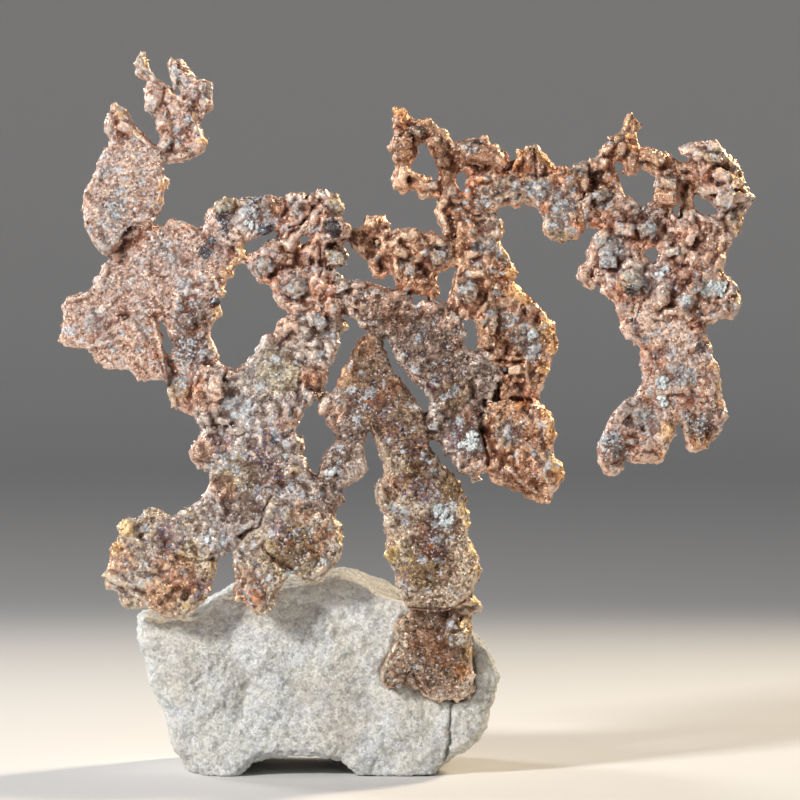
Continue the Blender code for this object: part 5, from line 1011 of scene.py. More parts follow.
def draw_paths(piece, paths):
    """Carve paths into the front of a skin, and return how deep a crease each point is in."""
    vertices = piece.data.vertices
    places = read_vectors(vertices, "co")
    normals = read_vectors(piece.data.vertex_normals, "vector")
    front = smooth_step(-normals[:, 1], 0.0, 0.5)
    points = places[:, [0, 2]] / MM
    rise = np.zeros(len(points))
    for (height, width), group in paths.items():
        for path in group:
            distance = distance_to_path(points, path)
            rise += height * (1 - smooth_step(distance, PATH_CORE * width, PATH_EDGE * width))
    rise = np.clip(PATH_STRENGTH * rise, -DEEPEST, HIGHEST) * front
    places[:, 1] -= rise * MM
    vertices.foreach_set("co", places.ravel())
    piece.data.update()
    return np.clip(-rise / FULL_CREASE, 0, 1)


crease = draw_paths(copper, PATHS)
print("paths:", sum(map(len, PATHS.values())), "points in creases:", int((crease > 0.5).sum()))

# %% [markdown]
# ## Stains
# Tarnish came from outside, so its patches do not follow the branches: a grey mineral film, dark
# blue-grey spots, violet and orange iridescence and greenish gold. Other spots stand for light and shade:
# warm highlights painted on edges that catch the warm lamp, darker spots that are partly painted shade,
# and clean metal here and there that is lightened partly as a painted sheen.
# They could be painted by hand in a texture. Here each stain is a set of spots in the front view, listed
# under their reach in millimetres, and every point of the skin stores how much of each stain it has. The
# material breaks the edges up.

# %% Spots of ink, iridescence, ember and olive, and of painted warm highlight
STAINS = {}
STAINS["ink"] = {
    0.5: [(-16.8, 68.8)],
    0.6: [(-22.6, 68.6), (36.6, 57.9), (-16.4, 42.4)],
    0.7: [(-8.8, 68.1), (-24.0, 59.5), (8.4, 66.4)],
    0.8: [(-24.6, 67.0), (27.8, 61.0)],
    0.9: [(39.2, 60.6)],
    1.0: [(-22.8, 70.0), (36.9, 53.6)],
    1.1: [(-17.7, 68.4)],
    1.2: [(-25.2, 66.0), (-9.4, 68.8)],
}
STAINS["iridescence"] = {
    1.2: [(4.0, 28.4), (3.4, 48.9), (-0.6, 26.2)],
    1.4: [(1.6, 39.6), (-18.0, 40.6), (-6.0, 47.2)],
    1.5: [(-23.0, 41.8), (6.2, 42.8)],
    1.6: [(-16.8, 43.2), (-3.2, 46.6), (0.4, 36.8), (1.8, 36.2), (2.6, 30.0), (-25.6, 24.0),
        (-15.5, 31.2), (-17.0, 38.0)],
    1.8: [(-1.6, 43.0), (0.9, 41.2)],
    2.0: [(-29.5, 30.2)],
}
STAINS["ember"] = {
    0.6: [(-31.0, 52.8)],
    0.7: [(33.6, 62.0)],
    0.9: [(15.2, 48.0), (21.5, 68.7), (31.3, 66.9)],
    1.0: [(-4.4, 47.4), (2.8, 28.4), (17.3, 71.2), (2.0, 63.4), (7.6, 73.2), (-12.0, 50.0)],
    1.1: [(32.9, 69.2)],
    1.2: [(-2.0, 48.9), (2.4, 31.4), (-10.2, 31.0), (-15.0, 29.4), (14.3, 47.7), (36.2, 56.6),
        (30.6, 66.2), (-36.0, 65.6), (4.6, 14.6), (6.8, 13.4), (8.0, 45.4)],
    1.4: [(-19.0, 22.8), (36.0, 62.6)],
    1.6: [(-3.2, 48.2), (-30.4, 27.2), (-27.6, 24.6), (-11.4, 29.4)],
    2.2: [(-28.4, 26.4)],
}
STAINS["olive"] = {
    0.9: [(-36.8, 84.4)],
    1.0: [(26.6, 80.1), (19.4, 67.2)],
    1.2: [(-19.8, 72.4)],
    1.4: [(-8.6, 71.6), (-28.0, 48.6), (-29.4, 48.0), (27.6, 62.0), (-33.4, 89.6), (-12.5, 26.6)],
    1.5: [(0.6, 38.6)],
    1.6: [(-9.0, 65.4), (-27.0, 28.4)],
    1.8: [(-22.8, 71.8), (38.0, 77.7), (41.2, 69.4), (5.8, 36.6)],
    2.0: [(5.8, 48.0), (36.8, 42.6), (-1.0, 27.8)],
    2.4: [(2.2, 26.0)],
    2.6: [(-21.0, 38.0)],
    3.0: [(-16.0, 51.0)],
    3.6: [(-14.0, 28.4)],
}
# Painted warm highlights: a gold tint on the edges that catch the warm light.
STAINS["gilt"] = {
    0.5: [(-31.3, 55.6), (-30.5, 52.8), (-7.5, 56.8)],
    0.6: [(14.4, 78.0), (39.8, 66.0), (39.4, 63.0)],
    0.7: [(-30.9, 72.3), (12.4, 65.6), (19.0, 37.8), (39.3, 46.8), (7.6, 32.0), (6.8, 13.4), (-8.3, 30.2)],
    0.8: [(-21.4, 64.5), (-23.2, 60.9), (-26.6, 82.4), (-33.6, 80.4), (17.4, 77.6), (27.9, 79.0),
        (39.0, 49.0), (37.9, 54.6), (32.2, 40.6), (41.2, 59.8), (8.6, 22.7), (-24.4, 26.8)],
    0.9: [(-30.5, 74.0), (41.8, 73.6), (42.0, 70.0), (41.3, 68.2), (17.0, 51.2), (8.5, 26.0),
        (-13.8, 38.6), (-36.3, 29.0)],
    1.0: [(-22.4, 63.2), (-25.7, 79.5), (-36.0, 83.2), (12.9, 63.0), (14.8, 60.0), (18.2, 54.0),
        (17.4, 45.6), (14.2, 46.9), (8.0, 28.8), (7.6, 15.6), (-2.4, 28.4)],
    1.1: [(-20.6, 65.8), (-23.4, 58.1), (13.4, 61.0), (7.2, 34.0), (7.4, 19.4)],
    1.2: [(-0.8, 83.0), (40.6, 76.8), (41.4, 75.0), (17.8, 43.6), (18.6, 39.2), (38.6, 51.4),
        (32.6, 43.2)],
    1.3: [(2.5, 82.2), (-34.8, 31.4)],
    1.4: [(28.2, 82.0)],
    1.5: [(17.4, 56.2)],
}

# %% Spots of darkening that is partly painted shade, of dust, patina and blush, and of clean metal with a painted sheen
# Darker spots: they tint the metal down, partly as painted shade where less light falls.
STAINS["soot"] = {
    1.6: [(-13.2, 64.2), (30.0, 70.6), (33.0, 76.2)],
    1.8: [(12.6, 55.0), (6.4, 71.0)],
    2.0: [(-6.8, 47.0), (-6.0, 66.4), (36.8, 44.0), (-27.2, 83.2), (-18.4, 71.2), (16.0, 76.8)],
    2.2: [(-2.6, 57.0), (-9.6, 35.0), (14.2, 36.8)],
    2.4: [(-4.8, 53.2), (-8.6, 42.2), (-10.2, 38.6), (26.0, 41.2), (9.0, 77.6), (-5.2, 44.6),
        (-26.4, 58.0)],
    2.6: [(8.8, 42.6), (5.6, 36.4), (-27.6, 54.0), (-14.0, 28.4), (-20.6, 34.4)],
    3.0: [(2.4, 39.6), (1.0, 55.6), (7.0, 46.8), (0.4, 12.6), (3.8, 31.4), (3.2, 26.6), (-17.6, 38.0)],
    3.2: [(5.4, 50.0), (4.4, 76.4)],
    3.4: [(-3.6, 50.0), (1.0, 43.0), (3.4, 53.0)],
    3.6: [(-2.4, 46.4), (3.0, 19.0), (0.4, 79.6)],
    4.0: [(3.4, 14.6)],
}
STAINS["dust"] = {
    1.8: [(7.4, 42.4), (25.4, 65.0)],
    2.0: [(-20.0, 70.0)],
    2.2: [(31.6, 62.6)],
    2.4: [(-23.4, 66.6), (-26.6, 53.0), (15.0, 55.4), (28.6, 44.8), (-18.6, 25.6)],
    2.6: [(3.6, 33.0), (33.8, 49.6)],
    3.0: [(-27.0, 61.0), (18.0, 72.4)],
    3.4: [(-38.6, 57.2), (-28.6, 31.0), (-12.6, 28.4)],
    3.6: [(-33.0, 27.2)],
    3.8: [(-36.6, 69.0)],
    4.0: [(-16.6, 34.6), (-22.4, 30.4)],
    4.4: [(-36.0, 61.0), (-29.0, 64.0), (-18.0, 52.0), (-19.0, 40.0)],
    4.6: [(-35.4, 74.0), (-18.6, 46.0)],
}
STAINS["patina"] = {
    0.9: [(2.0, 63.2)],
    1.0: [(-0.4, 64.6), (-8.8, 64.8), (-32.2, 83.6), (1.2, 80.8)],
    1.2: [(12.0, 65.4), (22.0, 76.2), (32.6, 74.6), (36.6, 61.4), (-14.0, 71.0), (-8.8, 71.2),
        (8.2, 79.0)],
    1.4: [(10.4, 69.4), (38.0, 77.6), (-32.8, 88.8), (-28.6, 49.6), (17.6, 39.6), (34.6, 50.2)],
    1.6: [(9.6, 72.6), (10.0, 66.8), (7.4, 61.0), (11.4, 57.4), (15.0, 54.6), (3.8, 65.4), (24.4, 72.4),
        (40.0, 70.6), (-17.8, 64.0), (-29.2, 87.2), (-25.8, 85.4), (-22.6, 71.0), (-18.6, 71.2),
        (26.0, 41.6), (30.0, 44.6), (-39.0, 57.0), (-30.0, 78.6)],
    1.8: [(12.6, 73.6), (16.4, 74.0), (19.4, 71.6), (19.0, 68.6), (29.4, 70.4), (26.0, 66.6),
        (28.6, 62.2), (-14.0, 61.2), (36.4, 44.2), (12.6, 43.2), (-30.6, 66.2), (-36.2, 71.4)],
    2.0: [(-27.0, 53.8)],
    2.2: [(-27.2, 57.6)],
}
STAINS["blush"] = {
    1.2: [(5.8, 54.2)],
    1.4: [(-2.2, 36.8), (0.0, 50.2), (-10.4, 69.6)],
    1.6: [(4.8, 57.2), (-14.8, 45.2), (-5.4, 54.2), (-21.6, 52.0), (-13.2, 33.4), (28.4, 79.4),
        (33.4, 78.2), (29.8, 73.4), (28.6, 66.8), (26.6, 60.6), (37.2, 42.0)],
    1.8: [(2.4, 59.2), (-1.6, 57.6), (-11.8, 50.4), (-25.8, 41.2), (-23.0, 36.6), (-9.4, 45.4),
        (-7.6, 50.6), (-10.6, 61.4), (-0.6, 82.0), (1.6, 77.6), (7.8, 74.8), (18.2, 75.4), (24.6, 69.6),
        (38.6, 65.2), (33.4, 63.4), (28.0, 42.6)],
    2.0: [(8.4, 39.6), (-12.2, 66.2), (-16.4, 62.6), (13.4, 76.6), (25.6, 76.2), (38.2, 75.6),
        (35.2, 68.2), (30.6, 52.6), (35.6, 47.6)],
    2.2: [(-15.6, 56.2), (-35.6, 27.4), (-15.6, 69.8)],
    2.4: [(-5.4, 59.6), (-0.6, 60.0), (-24.6, 48.2), (-19.6, 24.4), (-30.4, 23.2), (3.0, 17.0)],
    2.6: [(-3.4, 60.2)],
}
# Clean metal, lightened partly as a painted sheen where the light falls.
STAINS["clean"] = {
    1.4: [(14.2, 60.4), (-15.4, 44.6)],
    1.6: [(-32.0, 85.6), (-9.6, 55.0), (-36.4, 26.0), (-30.6, 73.4), (0.6, 67.8), (36.6, 70.2)],
    1.8: [(-28.4, 85.4), (36.8, 76.8), (37.4, 65.6), (-8.6, 46.6), (5.0, 72.0), (30.4, 66.4)],
    2.0: [(-23.8, 48.6), (-13.4, 62.0), (25.0, 67.0), (28.4, 63.6)],
    2.2: [(38.6, 63.0), (-13.6, 55.6), (-35.0, 30.0), (33.0, 66.6), (-13.0, 52.6), (-22.0, 40.6)],
    2.4: [(36.0, 61.0), (32.0, 60.0), (39.6, 73.4), (-20.6, 44.0), (-17.4, 48.6)],
    2.6: [(31.0, 56.6), (36.6, 50.6), (-31.0, 24.0), (-19.0, 36.4), (-18.4, 52.4)],
    3.0: [(34.4, 54.0)],
    3.4: [(-33.6, 76.6)],
}

# %% Spots of pale film
STAINS["veil"] = {
    0.3: [(12.6, 44.1), (-0.4, 53.2)],
    0.4: [(36.3, 48.3), (25.6, 64.8), (34.6, 45.3), (37.0, 44.9), (5.6, 30.2), (12.8, 56.8), (7.6, 63.1),
        (9.1, 41.3), (5.7, 43.4), (3.2, 49.8), (-4.0, 48.6), (-5.4, 46.5), (-8.4, 39.6), (-17.4, 70.2),
        (-21.3, 69.2), (-19.0, 70.3), (-31.6, 66.0), (-25.5, 62.4), (-32.8, 58.9), (-26.0, 52.3),
        (-34.0, 72.0), (-39.6, 68.5), (-25.4, 28.7), (-18.6, 25.8), (19.6, 70.2), (18.4, 69.2)],
    0.5: [(30.3, 48.6), (31.0, 53.1), (29.3, 45.5), (35.6, 50.8), (5.6, 34.3), (3.4, 32.0), (3.2, 38.5),
        (14.7, 56.4), (11.1, 60.7), (6.9, 61.0), (12.6, 43.4), (15.8, 40.8), (13.4, 40.6), (7.0, 41.9),
        (4.5, 47.7), (1.9, 56.2), (0.8, 51.2), (-4.8, 48.2), (-5.8, 50.6), (-8.8, 38.6), (-8.4, 41.4),
        (-10.3, 55.6), (-16.4, 43.4), (-20.6, 70.8), (-14.7, 68.9), (-27.6, 61.7), (-29.5, 66.9),
        (-23.7, 66.0), (-39.0, 58.0), (-40.3, 57.3), (-36.4, 53.6), (-33.5, 53.7), (-33.3, 75.8),
        (-37.8, 69.3), (-28.6, 87.4), (-31.8, 78.0), (-23.3, 29.2), (-17.0, 30.8), (-14.8, 25.8),
        (-32.4, 25.4), (20.8, 68.3), (20.2, 74.8), (13.6, 74.2), (11.4, 65.6), (8.6, 64.2), (2.2, 65.6)],
    0.6: [(32.4, 63.7), (24.6, 42.3), (24.6, 64.4), (-1.7, 33.9), (-0.3, 32.2), (1.8, 27.6), (15.6, 55.5),
        (13.4, 57.5), (7.8, 61.8), (16.8, 44.2), (6.5, 44.8), (5.5, 48.2), (6.0, 48.8), (1.5, 55.1),
        (-6.9, 48.6), (-10.8, 57.2), (-22.8, 40.4), (-16.4, 52.4), (-19.2, 68.9), (-38.3, 56.3),
        (-33.5, 77.9), (-36.0, 73.2), (-25.2, 30.1), (-22.8, 30.2), (18.8, 71.4), (18.8, 73.2),
        (10.4, 66.6), (4.4, 65.8), (0.4, 63.4)],
    0.7: [(33.8, 51.0), (29.7, 62.3), (15.4, 52.7), (-9.7, 38.3), (-18.2, 49.2), (-16.5, 69.7),
        (-28.4, 61.9), (-25.6, 53.2), (-34.0, 79.8), (-29.0, 88.6), (-28.8, 81.0), (-28.8, 79.6)],
    0.8: [(31.4, 63.0), (31.9, 47.1), (32.8, 53.2), (-0.5, 33.4), (16.1, 53.5), (8.1, 41.6),
        (-21.6, 45.4), (-37.6, 75.9)],
    0.9: [(34.9, 59.6), (31.8, 49.4), (25.7, 42.7), (4.8, 32.3), (8.1, 42.6), (-19.8, 69.3),
        (-42.0, 56.0), (15.4, 73.6)],
    1.0: [(-22.2, 47.0)],
    1.1: [(4.2, 33.5)],
    1.2: [(-20.2, 46.4)],
    1.3: [(38.3, 61.2)],
}

# %% Stains on the skin
STAIN_SIDE = 0.6
SPOT_CORE, SPOT_EDGE = 0.4, 1.5


def stain_share(kind, places):
    """How much of a stain lies on each place: full inside its spots, on the front more than behind."""
    points = places[:, [0, 2]] / MM
    share = np.zeros(len(points))
    for reach, spots in STAINS[kind].items():
        for spot in spots:
            distance = np.linalg.norm(points - spot, axis=1)
            near = 1 - smooth_step(distance, SPOT_CORE * reach, SPOT_EDGE * reach)
            share = np.maximum(share, near)
    return share * np.where(places[:, 1] < SHEET_DEPTH, 1.0, STAIN_SIDE)


def store_stains(piece):
    """Store each stain's share on the points of a piece, over what it already has of it."""
    places = read_vectors(piece.data.vertices, "co")
    for kind in STAINS:
        share = stain_share(kind, places)
        if kind in piece.data.attributes:
            share = np.maximum(share, read_store(piece, kind))
        store(piece, kind, share)


store_stains(copper)
print("spots:", {kind: sum(map(len, groups.values())) for kind, groups in STAINS.items()})

# %% [markdown]
# ## Lumps and grains
# On the real piece nodules of one to two millimetres stand in rows along the rims, and grains of a third
# of a millimetre cover the faces like sugar. Noise alone would give soft dunes. Cell textures give what
# grew here, rounded bodies with a crease between them, and Displace modifiers push them out. Vertex
# groups keep the grains off the rims and give each branch its own share of lumps.

# %% Displacement
CRYSTAL_LUMPS, CRYSTAL_GRAINS = 0.25, 0.35
RIM_RELIEF_LOSS = 0.3


def raise_relief(piece, layers):
    """Push a skin by layers of cells or clouds: name, size and height in mm, vertex group, and kind."""
    for name, size, height, group, *kind in layers:
        texture = bpy.data.textures.new(name, *(kind or ["VORONOI"]))
        texture.noise_scale = size * MM
        displace(piece, texture, height * MM, group)
    settle(piece)


def weigh(piece, name, shares):
    """A vertex group with a share for each vertex."""
    group = piece.vertex_groups.new(name=name)
    for index, share in enumerate(shares.tolist()):
        group.add([index], share, "REPLACE")
    return group.name


on_crystal = read_store(copper, "tint") > 0
lumpy = weigh(copper, "lumps", lumpiness * np.where(on_crystal, CRYSTAL_LUMPS, 1.0))
off_rims = 1 - RIM_RELIEF_LOSS * copper_rim
broad = weigh(copper, "broad faces", off_rims * np.where(on_crystal, CRYSTAL_GRAINS, 1.0))
COPPER_RELIEF = [
    ("swells", 2.2, 0.2, "", "CLOUDS"),
    ("nodules", 1.9, -0.3, lumpy),
    ("knobs", 0.95, -0.28, lumpy),
    ("grains", 0.45, -0.22, broad),
]
raise_relief(copper, COPPER_RELIEF)
copper.data.shade_smooth()
# The creases join the hollows, which the finishes darken with painted shade.
store(copper, "hollow", np.maximum(read_store(copper, "hollow"), crease))
# The fine relief is read by the finishes: its pits get painted shade and its small ridges a painted
# highlight.
store(copper, "relief", hollow_share(copper, *RELIEF))
print("displaced points:", len(copper.data.vertices))
print("relief, tenth to tenth:", np.percentile(read_store(copper, "relief"), range(0, 101, 10)).round(2))

# %% [markdown]
# ## Part the skin by branch
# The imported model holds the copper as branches, so that each can be named and replaced. The skin is
# parted where its faces change owner, which leaves no seam to be seen, and the openings are closed
# inside.

# %% Part the skin


def parted_skin(piece, owners, index):
    """The part of the skin that covers one branch, as a piece of its own."""
    body = bmesh.new()
    body.from_mesh(piece.data)
    body.faces.ensure_lookup_table()
    others = [body.faces[face] for face in np.flatnonzero(owners != index).tolist()]
    bmesh.ops.delete(body, geom=others, context="FACES")
    return body_object(f"{branches[index]}_skin", body)


copper_owners = owner[first_corners(copper)]
skins = {branch: parted_skin(copper, copper_owners, index) for index, branch in enumerate(branches)}
bpy.data.objects.remove(copper)
print("parts of the skin:", len(skins))

# %% [markdown]
# ## The crust of small crystals
# Between the large crystals lies a crust of small ones, a tenth to half a millimetre across. These are
# scattered by chance, each branch with the forms and the density of its habit.

# %% Crystal crust
CRUSTS = {
    "sugary": {"cube": (0.6, (0.1, 0.22), 0.8), "octahedron": (0.8, (0.1, 0.24), 0.8)},
    "lumpy": {
        "cube": (0.5, (0.12, 0.26), 0.8),
        "octahedron": (0.6, (0.12, 0.3), 0.8),
        "leaf": (0.2, (0.18, 0.4), 0.6),
    },
    "crystalline": {
        "cube": (0.3, (0.12, 0.3), 0.8),
        "octahedron": (0.35, (0.12, 0.34), 0.8),
        "leaf": (0.2, (0.2, 0.45), 0.7),
    },
    "spindly": {
        "octahedron": (0.6, (0.12, 0.26), 0.8),
        "spindle": (0.4, (0.16, 0.36), 1.2),
        "leaf": (0.2, (0.2, 0.36), 0.6),
    },
}
CRYSTAL_VALUES = {"hollow": 0.35, "relief": 0.4}


def crust(piece, recipe, seed):
    """Set small crystals into a skin: number per mm2, smallest and largest radius in mm, and lean."""
    rng = np.random.default_rng(seed)
    area = surface_area(piece)
    taken = {name: read_store(piece, name) for name in ("rim", "patina")}
    extras = []
    for form, (density, reach, lean) in recipe.items():
        points, normals, corners = sample_surface(piece, int(density * area), rng)
        made = crystal_mesh(form, points, normals, random_radii(len(points), *reach, rng), lean, rng)
        each = len(made.data.vertices) // len(points)
        for name, values in taken.items():
            store(made, name, np.repeat(values[corners], each))
        for name, value in CRYSTAL_VALUES.items():
            store(made, name, np.full(len(made.data.vertices), value))
        store_stains(made)
        extras.append(made)
    join(piece, extras)


def close_openings(piece):
    """Close the holes that parting the skin has left."""
    body = bmesh.new()
    body.from_mesh(piece.data)
    bmesh.ops.holes_fill(body, edges=[edge for edge in body.edges if edge.is_boundary])
    body.to_mesh(piece.data)
    body.free()


for seed, branch in enumerate(branches):
    crust(skins[branch], CRUSTS[habit_of[branch]], seed)
    close_openings(skins[branch])
print("faces with crystals:", sum(len(piece.data.polygons) for piece in skins.values()))

# %% [markdown]
# ## The rock's skin
# The block is a loose-grained rock: pale grains of about half a millimetre with pits between them. The
# packed block already has the broken faces, the crack and the arch. The same steps as for the copper give
# it its grain, with rounder cells and no crystals.

# %% Rock skin
ROCK_VOXEL = 0.29 * MM
ROCK_CLOSING = 0.34 * MM
ROCK_RELIEF = [
    ("rock clods", 2.6, 0.6, "", "CLOUDS"),
    ("rock steps", 1.5, -0.3, ""),
    ("rock grains", 0.6, -0.38, ""),
]
ROCK_WINDOWS = [
    [(-9.6, 28.0), (-9.0, 26.0), (-7.8, 25.1), (-5.2, 24.3), (-2.8, 23.1), (-1.2, 21.9), (0.4, 22.2),
     (-0.6, 28.0)],
    [(-27.4, 20.6), (-24.0, 21.7), (-21.7, 23.3), (-21.4, 26.0), (-27.4, 26.0)],
]
CRACK = {
    (-1.2, 0.26): [[(5.7, 9.6), (5.35, 8.4), (5.5, 7.2), (5.2, 6.0), (5.4, 4.6), (5.1, 3.3), (4.8, 2.2)]],
    (-1.1, 0.5): [[(4.7, 2.0), (5.0, 1.2), (4.6, 0.3)]],
    (-0.5, 0.3): [[(5.1, 3.3), (5.8, 2.6), (6.0, 1.6)]],
}


def rock_skin():
    """The granular skin of the block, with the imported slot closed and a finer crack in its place."""
    piece = node_copy(["matrix_rock"], "matrix_rock_skin")
    open_windows(piece, ROCK_WINDOWS)
    even_skin(piece, ROCK_CLOSING, ROCK_VOXEL, 1)
    even_skin(piece, -ROCK_CLOSING, ROCK_VOXEL, 2)
    # The crack's depth joins the hollows, which the finish darkens with painted shade.
    store(piece, "hollow", np.maximum(hollow_share(piece, *HOLLOW), draw_paths(piece, CRACK)))
    raise_relief(piece, ROCK_RELIEF)
    places = read_vectors(piece.data.vertices, "co")
    places[:, 2] = np.maximum(places[:, 2], 0)
    piece.data.vertices.foreach_set("co", places.ravel())
    piece.data.shade_smooth()
    store(piece, "relief", hollow_share(piece, *RELIEF))
    return piece


rock = rock_skin()
print("rock faces:", len(rock.data.polygons))

# %% [markdown]
# ## Specks of calcite
# Here and there a little white calcite has stayed on the copper, in patches of a few grains. Each patch
# is listed, and its grains are small uneven blocks, set on the skin along rays from the front.

# %% Calcite
CALCITE_PATCHES = [
    (8.1, 42.4, 2.2, 1.4, 80), (7.0, 41.9, 1.2, 0.6, 20), (38.3, 61.2, 3.2, 1.6, 10),
    (37.6, 60.6, 1.2, 1.0, 0), (39.3, 60.6, 1.2, 0.8, -30), (34.9, 59.6, 1.3, 1.1, 0),
    (31.4, 63.0, 1.2, 0.9, 0), (32.4, 63.7, 0.9, 0.7, 0), (31.8, 49.5, 1.4, 1.4, 80),
    (31.9, 47.1, 1.0, 1.2, 70), (4.2, 33.5, 1.8, 1.6, 20), (4.8, 32.3, 1.6, 1.2, 10),
    (15.6, 55.5, 1.0, 0.9, 0), (-19.6, 69.2, 1.4, 0.9, -20), (-24.9, 30.0, 1.0, 0.7, 0),
    (-9.6, 38.4, 1.0, 0.7, 0),
]
CALCITE_GRAINS_PER_MM2 = 9
CALCITE_SIZES = (0.24, 0.52)
CALCITE_RISE = 0.04
CALCITE_LEAN = 0.8


def calcite():
    """All calcite grains as one mesh."""
    rng = np.random.default_rng(23)
    corners = []
    faces = []
    start = 0
    for x, z, length, width, turn in CALCITE_PATCHES:
        angle = math.radians(turn)
        for _ in range(int(length * width * CALCITE_GRAINS_PER_MM2)):
            reach, way = math.sqrt(rng.random()), rng.uniform(0, math.tau)
            along = 0.5 * length * reach * math.cos(way)
            across = 0.5 * width * reach * math.sin(way)
            place_x = x + along * math.cos(angle) - across * math.sin(angle)
            place_z = z + along * math.sin(angle) + across * math.cos(angle)
            place, normal = find_seat(place_x, place_z, -1)
            size = rng.uniform(*CALCITE_SIZES)
            shape, sides = LARGE_FORMS[BLOCK][rng.integers(VARIANTS)]
            frame_axes = turned_frames(np.array([normal[:]]), CALCITE_LEAN, rng)[0]
            centre = np.array(place) + np.array(normal) * CALCITE_RISE * MM
            corners.append(centre + (shape * size * MM) @ frame_axes)
            faces.extend([start + corner for corner in face] for face in sides)
            start += len(shape)
    return mesh_object("calcite", np.concatenate(corners), faces)


calcite_specks = calcite()
print("faces of calcite:", len(calcite_specks.data.polygons))

# %% [markdown]
# ## Node groups that the finishes share
# Every surface here is a mosaic of crystal grains, with soft-edged clouds of another colour over it, and
# with ragged patches at known places. Each of these effects is a node group, made once. Painted textures
# would tie the colours to one unwrapping, while these patterns fill space, so they fit any side.

# %% Node helpers


def add_node(tree, kind, inputs=None, **settings):
    """Add a node, set its options, and give each input a plain value or a link."""
    made = tree.nodes.new(kind)
    for name, value in settings.items():
        setattr(made, name, value)
    for name, value in (inputs or {}).items():
        if isinstance(value, bpy.types.NodeSocket):
            tree.links.new(value, made.inputs[name])
        else:
            made.inputs[name].default_value = value
    return made


def math_node(tree, operation, *values):
    """One step of arithmetic."""
    return add_node(tree, "ShaderNodeMath", dict(enumerate(values)), operation=operation).outputs[0]


def vector_node(tree, operation, first, second):
    """One step of vector arithmetic."""
    return add_node(tree, "ShaderNodeVectorMath", {0: first, 1: second}, operation=operation)


def scaled(tree, vector, factor):
    """A vector times a number."""
    inputs = {0: vector, "Scale": factor}
    return add_node(tree, "ShaderNodeVectorMath", inputs, operation="SCALE").outputs[0]


def noise_value(tree, place, scale, detail, roughness):
    """Soft noise of a given scale."""
    inputs = {"Vector": place, "Scale": scale, "Detail": detail, "Roughness": roughness}
    return add_node(tree, "ShaderNodeTexNoise", inputs).outputs["Fac"]


def ramp_between(tree, value, low, high, start=0.0, end=1.0):
    """Map low to high onto start to end, softly."""
    inputs = {"Value": value, "From Min": low, "From Max": high, "To Min": start, "To Max": end}
    return add_node(tree, "ShaderNodeMapRange", inputs, interpolation_type="SMOOTHSTEP").outputs[0]


def blend_colours(tree, share, under, over, mode="MIX"):
    """Lay one colour over another, or tint it in the mode MULTIPLY."""
    made = tree.nodes.new("ShaderNodeMix")
    made.data_type = "RGBA"
    made.blend_type = mode
    for socket, value in zip((made.inputs[0], made.inputs[6], made.inputs[7]), (share, under, over)):
        if isinstance(value, bpy.types.NodeSocket):
            tree.links.new(value, socket)
        elif isinstance(value, tuple):
            socket.default_value = (*value, 1.0)
        else:
            socket.default_value = value
    return made.outputs[2]


def lay(tree, colour, *layers):
    """Lay colours over one another: each layer is a share and a colour, and MULTIPLY if it is a tint."""
    for share, over, *mode in layers:
        colour = blend_colours(tree, share, colour, over, *mode)
    return colour


def new_group(name, inputs, outputs):
    """A node group with named sockets: name to default value, and name to kind."""
    group = bpy.data.node_groups.new(name, "ShaderNodeTree")
    for socket_name, default in inputs.items():
        kind = "NodeSocketVector" if isinstance(default, tuple) else "NodeSocketFloat"
        socket = group.interface.new_socket(socket_name, in_out="INPUT", socket_type=kind)
        socket.default_value = default
    for socket_name, kind in outputs.items():
        group.interface.new_socket(socket_name, in_out="OUTPUT", socket_type=kind)
    start = group.nodes.new("NodeGroupInput")
    end = group.nodes.new("NodeGroupOutput")
    return group, start.outputs, end.inputs


def use_group(tree, group, **inputs):
    """Place a node group in a material, with its inputs by name."""
    named = {name.replace("_", " "): value for name, value in inputs.items()}
    return add_node(tree, "ShaderNodeGroup", named, node_tree=group).outputs


# %% Grain mosaic group
ORIGIN = (0.0, 0.0, 0.0)
MIDDLE = (0.5, 0.5, 0.5)


def make_grain_mosaic():
    """Ragged cells that stand for grains: two random numbers, and a height that tilts each its own way."""
    group, given, out = new_group(
        "grain mosaic",
        {"place": ORIGIN, "cells per mm": 2.0, "raggedness": 0.2},
        {"shade": "NodeSocketFloat", "film": "NodeSocketFloat", "facet": "NodeSocketFloat"},
    )
    jag_scale = math_node(group, "MULTIPLY", given["cells per mm"], 1.6)
    jag = add_node(
        group, "ShaderNodeTexNoise", {"Vector": given["place"], "Scale": jag_scale, "Detail": 2.0}
    ).outputs["Color"]
    jag = scaled(group, vector_node(group, "SUBTRACT", jag, MIDDLE).outputs[0], given["raggedness"])
    ragged = vector_node(group, "ADD", given["place"], jag).outputs[0]
    cells = add_node(
        group, "ShaderNodeTexVoronoi", {"Vector": ragged, "Scale": given["cells per mm"]},
        feature="F1", voronoi_dimensions="3D",
    )
    split = add_node(group, "ShaderNodeSeparateColor", {"Color": cells.outputs["Color"]})
    offset = vector_node(group, "SUBTRACT", ragged, cells.outputs["Position"]).outputs[0]
    way = vector_node(group, "SUBTRACT", cells.outputs["Color"], MIDDLE).outputs[0]
    tilt = vector_node(group, "DOT_PRODUCT", offset, way).outputs["Value"]
    group.links.new(split.outputs["Red"], out["shade"])
    group.links.new(split.outputs["Green"], out["film"])
    group.links.new(tilt, out["facet"])
    return group


GRAIN_MOSAIC = make_grain_mosaic()

# %% Cloud group


def make_clouds():
    """Soft clouds of a given size, level and edge, as a mask."""
    group, given, out = new_group(
        "clouds",
        {"place": ORIGIN, "clouds per mm": 0.5, "level": 0.5, "edge": 0.1},
        {"mask": "NodeSocketFloat"},
    )
    noise = noise_value(group, given["place"], given["clouds per mm"], 4.0, 0.6)
    low = math_node(group, "SUBTRACT", given["level"], given["edge"])
    high = math_node(group, "ADD", given["level"], given["edge"])
    group.links.new(ramp_between(group, noise, low, high), out["mask"])
    return group


CLOUDS = make_clouds()

# %% Ragged edge group


